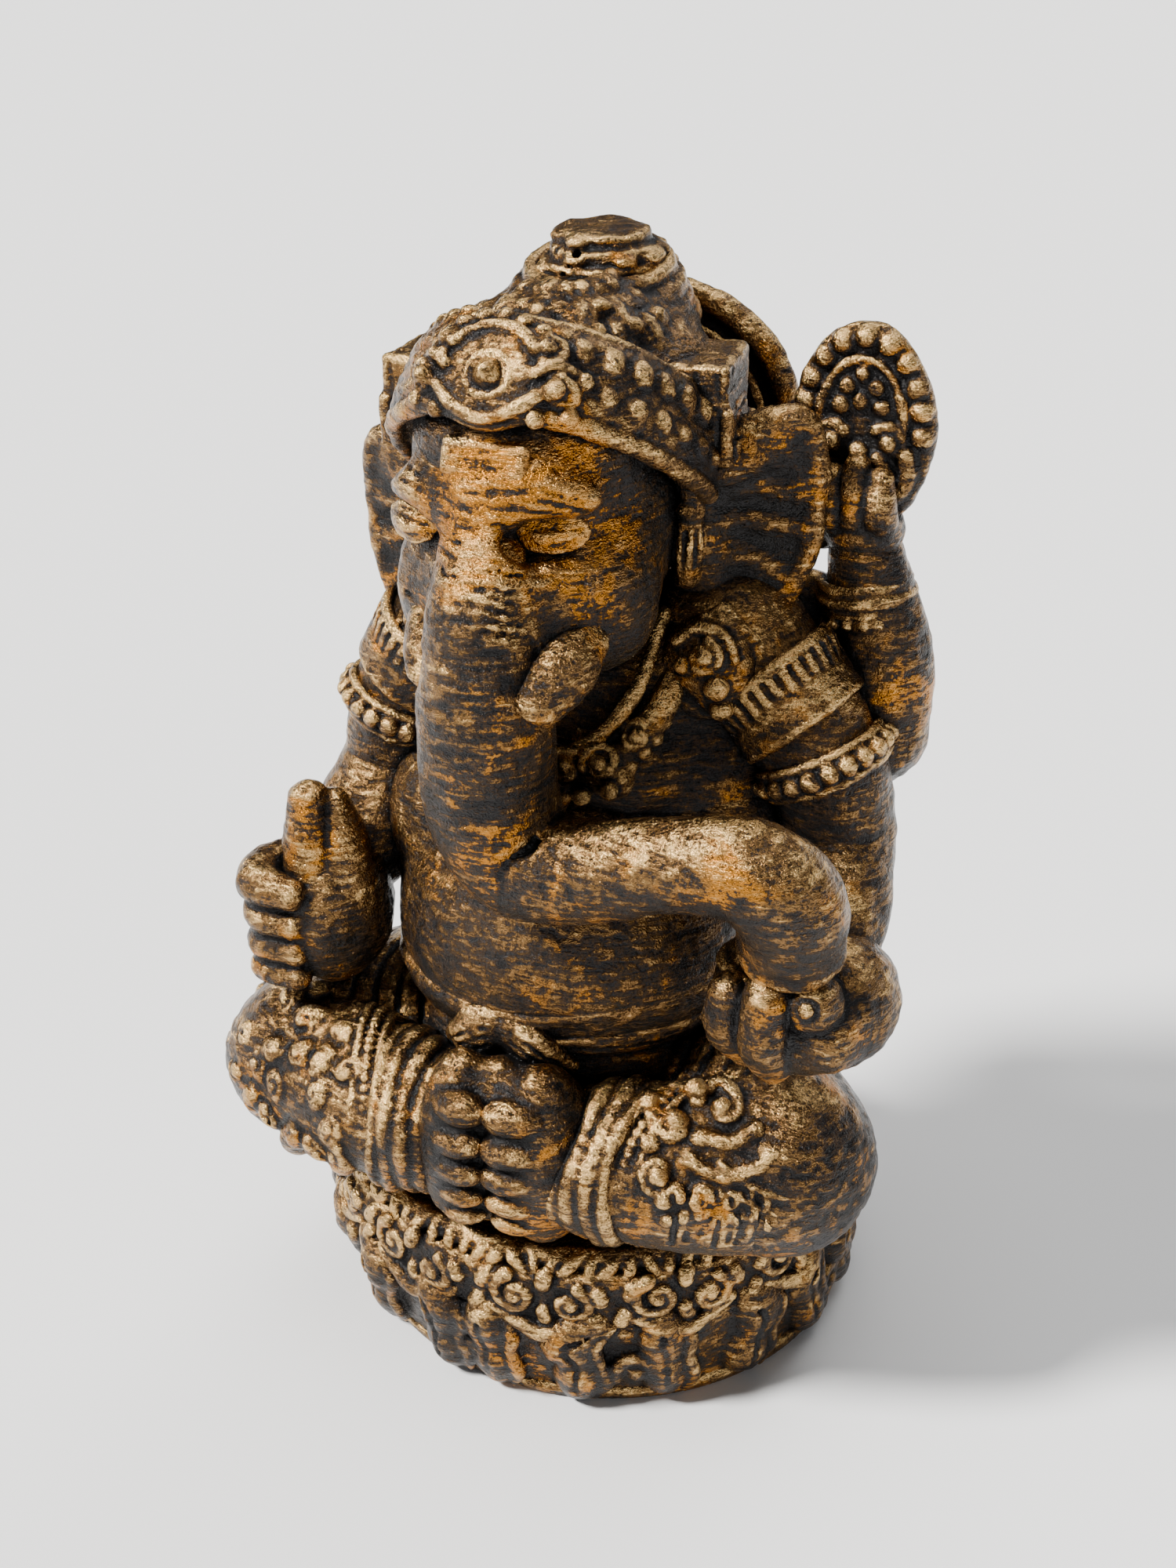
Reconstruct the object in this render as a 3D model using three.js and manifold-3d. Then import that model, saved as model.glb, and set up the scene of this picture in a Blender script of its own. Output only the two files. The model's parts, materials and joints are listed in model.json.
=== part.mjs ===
// A seated, elephant-headed, four-armed garden statue on a carved oval drum.
// Millimetres, +Z up, the figure faces -Y and its own left hand is on the +X side.
// The origin is the middle of the underside of the drum.
import * as THREE from 'three';
import { mergeVertices } from 'three/addons/utils/BufferGeometryUtils.js';
import { RoundedBoxGeometry } from 'three/addons/geometries/RoundedBoxGeometry.js';
import Module from 'manifold-3d';

// ---------- Driving dimensions ----------
const GAP = 0.3; // clearance between neighbouring pieces
const LEFT = 1; // the figure's own left is +X
const RIGHT = -1;

const BASE = {
  halfWidth: 127, halfDepth: 121, height: 88, foot: 118, skirt: [8, 47], frieze: [48, 78],
};
const HEAD = { centre: [-6, -22, 398], radii: [55, 60, 56] };
const FOREHEAD = { centre: [-5, -41, 434], radii: [46, 42, 31] };
const CHEST = { centre: [0, 2, 300], radii: [74, 52, 58] };
const BELLY = { centre: [2, -22, 214], radii: [80, 68, 60] };
const WAIST = { centre: [4, -4, 254], radii: [84, 48, 34] };
const HIPS = { centre: [0, -4, 136], radii: [88, 78, 56] };
const KNEE = {
  left: { centre: [113, -62, 129], radius: 42 },
  right: { centre: [-118, -62, 124], radius: 38 },
};
const FOOT = { out: 17, y: -105, z: 135, radii: [20, 25, 44] };
const FRONT_ARM = {
  left: [[57, 8, 343], [86, 4, 322], [108, 0, 292], [116, 0, 262]],
  right: [[-50, 8, 338], [-74, 5, 314], [-89, 2, 284], [-94, -2, 256]],
};
const FIST = { centre: [-111, -58, 207], radii: [24, 28, 36] };
const BOWL = { centre: [115, -64, 217], radius: 34 };
const TRUNK = {
  path: [
    [-3, -66, 414], [-3, -90, 380], [-2, -97, 345], [-3, -95, 305], [8, -93, 277],
    [40, -98, 279], [74, -99, 290], [104, -97, 293], [120, -91, 280], [121, -84, 258],
  ],
  radii: [19, 24, 27, 27.5, 25, 21, 19, 20.5, 22.5, 21.5],
};
const TUSK = {
  left: [[33, -80, 369], [29, -93, 363], [24, -105, 355]],
  right: [[-38, -74, 366], [-33, -85, 359], [-29, -95, 352]],
  radii: [9, 11, 9],
};
const EYE = { radii: [13, 8, 8], turn: 25 };
const NECKLACE = {
  path: [
    [-50, -18, 346], [-44, -42, 316], [-20, -54, 298], [0, -57, 293],
    [20, -54, 298], [44, -42, 316], [50, -18, 346],
  ],
  radii: [7, 8, 9, 9, 9, 8, 7],
};
const CROWN_TOP = 500;
const CROWN_CAP = { path: [[-5, -14, 433], [-5, 8, 436], [-3, 28, 443]], radii: [48, 44, 35] };
const CROWN_CONE = [
  { centre: [-4, 8, 446], radii: [60, 46, 33] },
  { centre: [-3, 23, 462], radii: [44, 40, 28] },
];
const DIADEM = { centre: [-4, -6, 426], halfWidth: 60, halfDepth: 78, section: [8, 20], tilt: -37 };
const HALO = { centre: [10, 72, 408], radius: 63 };
const REAR_DISC = { centre: [107, 43, 425], radii: [29, 9, 43] };

// ---------- Materials ----------
const finish = (color, roughness, metalness) =>
  new THREE.MeshStandardMaterial({ color, roughness, metalness });

const stone = () => finish(0x3a3026, 0.45, 0.2);
const bronze = () => finish(0x8a6a3c, 0.42, 0.4);
const darkStone = () => finish(0x1c1a1a, 0.4, 0.1);

// ---------- Shapes: each is a function of how far it is grown outwards ----------
const wasm = await Module();
wasm.setup();

function toSolid(geometry) {
  geometry.deleteAttribute('normal');
  geometry.deleteAttribute('uv');
  const merged = mergeVertices(geometry, 1e-4);
  return new wasm.Manifold(new wasm.Mesh({
    numProp: 3,
    vertProperties: new Float32Array(merged.attributes.position.array),
    triVerts: new Uint32Array(merged.index.array),
  }));
}

function placed(geometry, centre, turn = [0, 0, 0]) {
  const euler = new THREE.Euler(...turn.map(THREE.MathUtils.degToRad));
  geometry.applyMatrix4(new THREE.Matrix4().makeRotationFromEuler(euler));
  geometry.translate(...centre);
  return geometry;
}

const ball = (centre, radii, turn, around = 9, up = 6) => (grow) => {
  const geometry = new THREE.SphereGeometry(1, around, up);
  geometry.rotateX(Math.PI / 2);
  geometry.scale(...radii.map((radius) => radius + grow));
  return toSolid(placed(geometry, centre, turn));
};

const block = (centre, size, turn, rounding = 4) => (grow) => {
  const [width, depth, height] = size.map((side) => side + 2 * grow);
  return toSolid(placed(new RoundedBoxGeometry(width, depth, height, 1, rounding), centre, turn));
};

// Moves every point of a profile outwards so that each of its edges moves by grow.
function grownProfile(profile, grow) {
  const last = profile.length - 1;
  const closed = profile[0][0] === profile[last][0] && profile[0][1] === profile[last][1];
  const outward = ([r0, h0], [r1, h1]) => new THREE.Vector2(h1 - h0, r0 - r1).normalize();
  return profile.map((point, i) => {
    const before = i > 0 ? profile[i - 1] : closed && profile[last - 1];
    const after = i < last ? profile[i + 1] : closed && profile[1];
    const normals = [before && outward(before, point), after && outward(point, after)].filter(Boolean);
    const push = normals.reduce((sum, normal) => sum.add(normal), new THREE.Vector2());
    push.multiplyScalar((grow * normals.length) / push.lengthSq());
    return new THREE.Vector2(point[0] === 0 ? 0 : point[0] + push.x, point[1] + push.y);
  });
}

// A profile of [radius, height] points turned about Z, then squashed into an oval.
const turned = (profile, centre, turn, oval = [1, 1], around = 22) => (grow) => {
  const geometry = new THREE.LatheGeometry(grownProfile(profile, grow), around);
  geometry.rotateX(Math.PI / 2);
  geometry.scale(oval[0], oval[1], 1);
  return toSolid(placed(geometry, centre, turn));
};

// An oval ring with a round or flattened section, closed on itself.
const ring = (halfWidth, halfDepth, section, centre, turn, around = 14) => (grow) => {
  const [thick, tall] = section;
  const geometry = new THREE.TorusGeometry(1, 0.1, 6, around);
  const position = geometry.attributes.position;
  for (let i = 0; i < position.count; i += 1) {
    const angle = Math.atan2(position.getY(i), position.getX(i));
    const across = (Math.hypot(position.getX(i), position.getY(i)) - 1) / 0.1;
    const along = position.getZ(i) / 0.1;
    position.setXYZ(
      i,
      Math.cos(angle) * (halfWidth + across * (thick + grow)),
      Math.sin(angle) * (halfDepth + across * (thick + grow)),
      along * (tall + grow),
    );
  }
  return toSolid(placed(geometry, centre, turn));
};

// A round limb with dome ends: a capsule whose rings follow a smooth curve.
const limb = (points, radii, sides = 7, steps = 3) => (grow) => {
  const path = new THREE.CatmullRomCurve3(points.map((point) => new THREE.Vector3(...point)));
  const frames = path.computeFrenetFrames(steps, false);
  const domeRings = 2;
  const rings = steps + 1 + 2 * (domeRings - 1);
  const geometry = new THREE.SphereGeometry(1, sides, rings + 1);
  const position = geometry.attributes.position;
  const radiusAt = (t) => {
    const place = t * (radii.length - 1);
    const low = Math.min(Math.floor(place), radii.length - 2);
    return THREE.MathUtils.lerp(radii[low], radii[low + 1], place - low) + grow;
  };
  const stations = [];
  for (let k = 0; k <= rings + 1; k += 1) {
    const beyondStart = Math.max(0, domeRings - k);
    const beyondEnd = Math.max(0, k - (rings + 1 - domeRings));
    const lean = ((beyondStart || beyondEnd) / domeRings) * (Math.PI / 2);
    const step = THREE.MathUtils.clamp(k - domeRings, 0, steps);
    const radius = radiusAt(step / steps);
    stations.push({
      centre: path.getPointAt(step / steps).addScaledVector(
        frames.tangents[step],
        Math.sin(lean) * radius * (beyondStart ? -1 : 1),
      ),
      radius: Math.cos(lean) * radius,
      normal: frames.normals[step],
      binormal: frames.binormals[step],
    });
  }
  for (let i = 0; i < position.count; i += 1) {
    const row = Math.floor(i / (sides + 1));
    const angle = ((i % (sides + 1)) / sides) * 2 * Math.PI;
    const { centre, radius, normal, binormal } = stations[row];
    const flat = row === 0 || row === rings + 1 ? 0 : radius;
    const point = centre.clone()
      .addScaledVector(normal, Math.cos(angle) * flat)
      .addScaledVector(binormal, -Math.sin(angle) * flat);
    position.setXYZ(i, ...point.toArray());
  }
  return toSolid(geometry);
};

const join = (...shapes) => (grow) => shapes
  .map((shape) => shape(grow))
  .reduce((whole, part) => whole.add(part));

const within = (shape, limits) => (grow) => shape(grow).intersect(limits(grow));

// ---------- Assembly: each new piece is cut round the pieces already there ----------
const statue = new THREE.Group();
const standing = [];

function largestBody(solid) {
  return solid.decompose().sort((a, b) => b.volume() - a.volume())[0];
}

function toGeometry(solid) {
  const mesh = solid.getMesh();
  const geometry = new THREE.BufferGeometry();
  geometry.setAttribute('position', new THREE.BufferAttribute(mesh.vertProperties, 3));
  geometry.setIndex(new THREE.BufferAttribute(mesh.triVerts, 1));
  geometry.computeVertexNormals();
  return geometry;
}

function add(name, shape, material) {
  const cut = standing.reduce((rest, other) => rest.subtract(other), shape(0));
  standing.push(shape(GAP));
  const mesh = new THREE.Mesh(toGeometry(largestBody(cut)), material);
  mesh.name = name;
  statue.add(mesh);
}

const sideName = (side) => (side === LEFT ? 'left' : 'right');

// ---------- Head ----------
function addFace() {
  add('trunk', limb(TRUNK.path, TRUNK.radii, 10, 14), bronze());
  for (const side of [LEFT, RIGHT]) {
    const name = sideName(side);
    add(`${name}_tusk`, limb(TUSK[name], TUSK.radii, 8, 3), bronze());
    const eye = [side * 29 - 12, -69, 408 + side * 3];
    add(`${name}_eye`, ball(eye, EYE.radii, [0, 0, side * EYE.turn], 8, 6), bronze());
  }
  add('forehead_mark', block([-5, -84, 440], [32, 6, 13], [-20, 0, -2], 2.5), bronze());
}

function addEar(side) {
  const outline = new THREE.Shape();
  outline.moveTo(0, 28);
  outline.quadraticCurveTo(18, 34, 42, 44);
  outline.quadraticCurveTo(52, 40, 53, 14);
  outline.quadraticCurveTo(52, -22, 34, -40);
  outline.quadraticCurveTo(22, -54, 6, -44);
  outline.quadraticCurveTo(-4, -10, 0, 28);
  const shape = (grow) => {
    const geometry = new THREE.ExtrudeGeometry(outline, {
      depth: 5 + 2 * grow,
      bevelEnabled: true,
      bevelThickness: 3,
      bevelSize: 3 + grow,
      bevelSegments: 1,
      curveSegments: 3,
    });
    geometry.translate(0, 0, -2.5 - grow);
    geometry.rotateX(Math.PI / 2);
    geometry.rotateZ(THREE.MathUtils.degToRad(20));
    const solid = toSolid(geometry);
    const facing = side === LEFT ? solid : solid.mirror([1, 0, 0]);
    return facing.translate([side * 50 - 4, -4, 378 + side * 14]);
  };
  add(`${sideName(side)}_ear`, shape, stone());
}

function addCrown() {
  add('diadem_medallion', turned(
    [[0, -2], [15, -2], [15, 3], [11, 6], [6, 9], [0, 10]],
    [-3, -72, 472],
    [62, 0, 0],
    [1, 1],
    12,
  ), bronze());
  const frontHalf = block([0, -88, 440], [200, 200, 200], [0, 0, 0], 1);
  add('diadem', within(
    ring(DIADEM.halfWidth, DIADEM.halfDepth, DIADEM.section, DIADEM.centre, [DIADEM.tilt, 0, 0], 20),
    frontHalf,
  ), bronze());
  add('crown_topknot', turned(
    [[0, -34], [30, -34], [28, -18], [25, -16], [23, -9], [19, -8], [17, -2], [14, 0], [0, 0]],
    [-2, 34, CROWN_TOP],
    [0, 0, 0],
    [1, 1],
    14,
  ), stone());
  for (const side of [LEFT, RIGHT]) {
    const name = sideName(side);
    const corner = [side * 60 - 9, 5.5 + side * 0.5, 436.5 + side * 4.5];
    add(`${name}_crown_wing`, block(corner, [24, 38, 40], [0, 0, side * 6]), stone());
    add(`${name}_ear_tassel`, limb(
      [[side * 58 - 5, -14, 428], [side * 59 - 5, -16, 408], [side * 57 - 5, -16, 386]],
      [7, 6, 5],
      7,
      2,
    ), bronze());
  }
  add('crown_cap', join(
    limb(CROWN_CAP.path, CROWN_CAP.radii, 11, 3),
    ...CROWN_CONE.map(({ centre, radii }) => ball(centre, radii, undefined, 14, 8)),
  ), stone());
  add('halo_disc', turned(
    [[0, -7], [HALO.radius, -7], [HALO.radius, 7], [HALO.radius - 10, 7], [HALO.radius - 12, 3], [0, 3]],
    HALO.centre,
    [90, 0, 0],
    [1, 1],
    20,
  ), stone());
}

// ---------- Arms ----------
function addFrontArm(side) {
  const name = sideName(side);
  const [shoulder, bicep, band] = FRONT_ARM[name];
  add(`${name}_bead_armband`, ring(28, 28, [5, 7], band, [0, side * 58, 0], 10), bronze());
  add(`${name}_armlet`, ring(30, 30, [4, 12], bicep, [0, side * 45, 0], 10), bronze());
  const drape = [shoulder[0] + side * 4, -14, 336];
  add(`${name}_shoulder_drape`, ball(drape, [24, 22, 26], [0, side * 30, 0], 8, 6), stone());
  add(`${name}_upper_arm`, limb(FRONT_ARM[name], [30, 28, 26, 24]), stone());
}

function addForearm(side, points, radii) {
  add(`${sideName(side)}_forearm`, limb(points, radii, 8, 2), stone());
}

function addBowlHand() {
  const [x, y, z] = BOWL.centre;
  const finger = (out, length) => limb(
    [[x + out * 0.8, y - 24, z - 18], [x + out, y - 34, z - 3], [x + out, y - 33, z + length]],
    [9, 9.5, 8],
    6,
    2,
  );
  add('left_hand', join(
    ball([x + 4, y, z - 24], [27, 28, 16], undefined, 9, 6),
    finger(-18, 14),
    finger(-1, 18),
    finger(16, 16),
    limb([[x + 26, y + 8, z - 14], [x + 34, y - 10, z], [x + 28, y - 24, z + 10]], [13, 13, 10], 8, 3),
  ), stone());
  add('sweet_bowl', ball(BOWL.centre, [BOWL.radius, BOWL.radius, BOWL.radius]), bronze());
}

function addFist() {
  const [x, y, z] = FIST.centre;
  const fingerPitch = 15;
  const fingers = [1.5, 0.5, -0.5, -1.5].map((row) => limb(
    [
      [x - 18, y + 10, z + row * fingerPitch],
      [x - 22, y - 16, z + row * fingerPitch - 1],
      [x - 2, y - 27, z + row * fingerPitch - 2],
    ],
    [8, 9, 8.5],
    6,
    2,
  ));
  const thumb = [[x + 3, y - 8, z + 22], [x + 6, y - 6, z + 42], [x + 7, y - 3, z + 58]];
  add('right_thumb', limb(thumb, [12, 12, 10], 8, 3), bronze());
  add('right_hand', join(ball(FIST.centre, FIST.radii, undefined, 9, 6), ...fingers), stone());
}

function addRearArm(side, elbow, wrist) {
  const name = sideName(side);
  const middle = elbow.map((value, axis) => (value + wrist[axis]) / 2);
  const bandCentre = [wrist[0], wrist[1], wrist[2] - 6];
  const bow = [middle[0] + side * 4, middle[1], middle[2]];
  add(`${name}_rear_armband`, ring(17, 17, [4, 5], bandCentre, [0, side * -14, 0], 12), bronze());
  add(`${name}_rear_forearm`, limb([elbow, bow, wrist], [22, 20, 15], 8, 3), stone());
  add(`${name}_rear_upper_arm`, limb(
    [
      [side * 50, 22, 335],
      [(elbow[0] + side * 50) / 2, 34, 308],
      [elbow[0] - side * 4, elbow[1], elbow[2] - 6],
    ],
    [22, 21, 20],
    8,
    2,
  ), stone());
}

function addRearAttributes() {
  add('left_rear_hand', join(
    ball([110, 32, 386], [15, 13, 15], undefined, 9, 6),
    ...[0, 1, 2].map((k) => limb(
      [[100 + k * 11, 33, 384], [100 + k * 11, 25, 396], [101 + k * 10, 30, 408]],
      [6, 6, 5.5],
      6,
      2,
    )),
  ), stone());
  add('rear_disc', ball(REAR_DISC.centre, REAR_DISC.radii, undefined, 14, 8), bronze());
  add('right_rear_hand', ball([-71, 61, 374], [14, 14, 15], undefined, 9, 6), stone());
  add('rear_bud', limb([[-70, 62, 384], [-69, 63, 402], [-68, 64, 418]], [9, 12, 6], 8, 3), bronze());
}

// ---------- Legs ----------
function addLeg(side) {
  const name = sideName(side);
  const { centre, radius } = KNEE[name];
  const cuffX = side * 47;
  add(`${name}_foot`, ball([side * FOOT.out, FOOT.y, FOOT.z], FOOT.radii, undefined, 10, 8), stone());
  add(`${name}_leg_cuff`, ring(33, 33, [5, 11], [cuffX, -92, 131], [0, 90, side * 14], 12), bronze());
  add(`${name}_shin`, limb(
    [
      [cuffX - side * 22, -92, 131], [cuffX, -91, 131], [side * 78, -82, 129],
      [centre[0] - side * 6, centre[1], centre[2]],
    ],
    [30, 33, 37, radius - 1],
  ), bronze());
  add(`${name}_leg`, limb(
    [[side * 42, 0, 132], [side * 84, -36, 128], centre],
    [42, 44, radius],
  ), stone());
}

// ---------- Body and base ----------
function addTrims() {
  add('necklace', limb(NECKLACE.path, NECKLACE.radii, 7, 8), bronze());
  add('sash_knot', ball([3, -80, 178], [30, 15, 14], undefined, 10, 7), bronze());
  add('waistband', ring(77, 66, [5, 6], [2, -22, 196], [0, 0, 0], 20), darkStone());
}

function addTorso() {
  add('head', join(
    ball(HEAD.centre, HEAD.radii, [0, -8, 0], 12, 8),
    ball(FOREHEAD.centre, FOREHEAD.radii, undefined, 12, 8),
  ), stone());
  add('chest', ball(CHEST.centre, CHEST.radii), stone());
  add('belly', join(
    ball(BELLY.centre, BELLY.radii, undefined, 12, 8),
    ball(WAIST.centre, WAIST.radii, undefined, 12, 8),
  ), stone());
}

function addBase() {
  const { halfWidth, halfDepth, height, foot, skirt, frieze } = BASE;
  const lip = 8;
  const groove = halfWidth - 12;
  const drum = (profile) => turned(profile, [0, 0, 0], [0, 0, 0], [1, halfDepth / halfWidth]);
  const ringHalf = [halfWidth - 9, halfDepth - 9];
  add('base_bead_ring', ring(...ringHalf, [5, 5], [0, 0, height - 4], [0, 0, 0], 22), bronze());
  add('base_scroll_frieze', drum([
    [halfWidth - 9, frieze[0]], [halfWidth, frieze[0] + 2], [halfWidth, frieze[1] - 2],
    [halfWidth - 9, frieze[1]], [halfWidth - 9, frieze[0]],
  ]), bronze());
  add('base_petal_skirt', drum([
    [foot - 12, skirt[0]], [foot + 2, skirt[0] + 2], [halfWidth + 3, skirt[1] - 6],
    [halfWidth + 1, skirt[1]], [groove + 1, skirt[1]], [foot - 12, skirt[0]],
  ]), stone());
  add('base_plinth', drum([
    [0, 0], [foot - 1, 0], [foot, 2], [foot, lip - 0.4], [foot - 13, lip - 0.4], [groove, skirt[1] + 0.4],
    [groove, frieze[1] + 0.4], [halfWidth - 3, frieze[1] + 0.4], [halfWidth - 3, height - 5],
    [halfWidth - 8, height], [0, height],
  ]), darkStone());
}

addFace();
for (const side of [LEFT, RIGHT]) addEar(side);
addCrown();
addTrims();
addBowlHand();
addFist();
addRearAttributes();
for (const side of [LEFT, RIGHT]) addFrontArm(side);
addForearm(LEFT, [[116, -2, 252], [120, -28, 230], [115, -46, 216]], [24, 22, 20]);
addForearm(RIGHT, [[-94, -4, 248], [-104, -28, 226], [-109, -44, 214]], [24, 22, 19]);
addBase();
addTorso();
addRearArm(LEFT, [122, 28, 296], [112, 35, 364]);
addRearArm(RIGHT, [-80, 56, 294], [-72, 60, 354]);
for (const side of [LEFT, RIGHT]) addLeg(side);
add('hips', ball(HIPS.centre, HIPS.radii, undefined, 12, 7), stone());

export default statue;
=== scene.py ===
"""Looks of the seated elephant-headed statue: carved, painted and varnished cast stone.

Every piece is modelled like clay, as a signed distance field in millimetres on a grid, and turned
into a closed mesh that stands for one CAD node. Paint follows the relief: black paint and painted shade
in the hollows, gold-bronze brushed over what stands proud, with painted highlights on faces that look
up and a painted grey sheen on the black.
"""
import json
import math
from concurrent.futures import ThreadPoolExecutor

import bpy
import numpy as np
import openvdb
from mathutils import Euler, Matrix, Vector


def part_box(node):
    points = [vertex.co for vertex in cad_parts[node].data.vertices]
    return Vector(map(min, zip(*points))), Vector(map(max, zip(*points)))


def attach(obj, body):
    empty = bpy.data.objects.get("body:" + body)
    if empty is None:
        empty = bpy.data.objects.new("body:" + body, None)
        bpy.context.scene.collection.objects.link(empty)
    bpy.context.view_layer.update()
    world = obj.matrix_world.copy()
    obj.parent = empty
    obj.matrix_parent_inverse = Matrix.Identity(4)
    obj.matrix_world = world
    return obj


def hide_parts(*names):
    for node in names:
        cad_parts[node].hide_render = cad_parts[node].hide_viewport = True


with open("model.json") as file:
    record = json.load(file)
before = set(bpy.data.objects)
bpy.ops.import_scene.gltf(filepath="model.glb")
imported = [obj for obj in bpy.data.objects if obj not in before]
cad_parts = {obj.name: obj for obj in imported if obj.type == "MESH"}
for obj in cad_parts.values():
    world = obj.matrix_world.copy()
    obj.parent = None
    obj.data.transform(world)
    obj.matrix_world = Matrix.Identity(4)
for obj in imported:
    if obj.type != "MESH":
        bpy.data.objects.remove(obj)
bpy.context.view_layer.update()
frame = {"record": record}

# ---------- Driving sizes, in millimetres ----------
MM = 0.001
STEP = 1.5           # grid spacing of ordinary pieces
FINE = 1.0           # grid spacing of small, finely carved pieces
COARSE = 1.25                               # times the spacing, on large and plain pieces
FAR = 60.0                                  # field value of empty space
MARGIN = 5.0                                # room kept round each shape
TINY = 1e-6
LEFT, RIGHT = 1, -1                         # the figure's own sides; its left is +X
SIDE_NAME = {LEFT: "left", RIGHT: "right"}


def vec(*values):
    return np.array(values, float)


def node_box(node):
    low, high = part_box(node)
    return np.array(low) / MM, np.array(high) / MM


def unit(direction):
    return np.asarray(direction, float) / np.linalg.norm(direction)


def turn_matrix(degrees):
    return np.array(Euler([math.radians(v) for v in degrees]).to_matrix())


def turned(matrix, x, y, z):
    """Coordinates seen from a shape that the matrix turns."""
    return [matrix[0, k] * x + matrix[1, k] * y + matrix[2, k] * z for k in range(3)]


def swing(angle, one, two):
    """Directions that turn from one towards two, a row for each angle in radians."""
    return np.cos(angle)[:, None] * one + np.sin(angle)[:, None] * two


def spokes(count):
    """Level directions, spread evenly round a full turn."""
    angles = [k * 2 * math.pi / count for k in range(count)]
    return [vec(math.cos(angle), math.sin(angle), 0) for angle in angles]


# ---------- Curves ----------
def spline(points, count, closed=False):
    """Points of a Catmull-Rom curve through the given rows, of any width."""
    rows = np.asarray(points, float)
    if closed:
        rows = np.vstack([rows[-1], rows, rows[0], rows[1]])
    else:
        rows = np.vstack([2 * rows[0] - rows[1], rows, 2 * rows[-1] - rows[-2]])
    spans = len(rows) - 3
    place = np.linspace(0, spans, count)
    start = np.minimum(place.astype(int), spans - 1)
    t = (place - start)[:, None]
    a, b, c, d = (rows[start + k] for k in range(4))
    square, cube = (2 * a - 5 * b + 4 * c - d) * t**2, (3 * b - a - 3 * c + d) * t**3
    return 0.5 * (2 * b + (c - a) * t + square + cube)


def spiral(size, turns=1.4, hand=1, start=0.0, count=16):
    """A flat scroll that winds in towards its middle, as rows of (across, up)."""
    shrink = 0.78                           # share of its size lost at the inner end
    t = np.linspace(0, 1, count)
    angle = math.radians(start) + hand * t * turns * 2 * math.pi
    radius = size * (1 - shrink * t)
    return np.column_stack([radius * np.cos(angle), radius * np.sin(angle)])


def arc(radius, first, last, count=14):
    """An arc in its own plane, in degrees, as rows of (across, up)."""
    angle = np.radians(np.linspace(first, last, count))
    wide, tall = radius if isinstance(radius, tuple) else (radius, radius)
    return np.column_stack([wide * np.cos(angle), tall * np.sin(angle)])


def resample(points, spacing):
    """Points at an even spacing along a polyline."""
    rows = np.asarray(points, float)
    length = np.concatenate([[0], np.cumsum(np.linalg.norm(np.diff(rows, axis=0), axis=1))])
    count = max(2, int(round(length[-1] / spacing)) + 1)
    place = np.linspace(0, length[-1], count)
    return np.column_stack([np.interp(place, length, rows[:, k]) for k in range(rows.shape[1])])


def smooth_min(a, b, blend):
    """The smaller of two distances, with the crease between the shapes filled in over blend."""
    if blend <= 0:
        return np.minimum(a, b)
    overlap = np.clip(blend - np.abs(a - b), 0, None) / blend
    return np.minimum(a, b) - overlap * overlap * (blend * 0.25)


def sample(field, index):
    """Values of a grid between its points, index being rows of grid coordinates."""
    top = np.array(field.shape) - 1.001
    place = np.clip(index, 0, top)
    low = place.astype(np.int64)
    f = (place - low).astype(np.float32)
    x, y, z = low.T
    fx, fy, fz = f.T
    total = 0
    for dx, wx in ((0, 1 - fx), (1, fx)):
        for dy, wy in ((0, 1 - fy), (1, fy)):
            for dz, wz in ((0, 1 - fz), (1, fz)):
                total = total + field[x + dx, y + dy, z + dz] * (wx * wy * wz)
    return total


def blurred(field, reach):
    """A box blur, reach grid points to each side."""
    out = field
    for axis in range(3):
        pad = [(0, 0)] * 3
        pad[axis] = (reach + 1, reach)
        total = np.cumsum(np.pad(out, pad, mode="edge"), axis=axis, dtype=np.float32)
        count = out.shape[axis]
        window = 2 * reach + 1
        high = np.take(total, range(window, window + count), axis=axis)
        low = np.take(total, range(0, count), axis=axis)
        out = (high - low) / window
    return out


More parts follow.
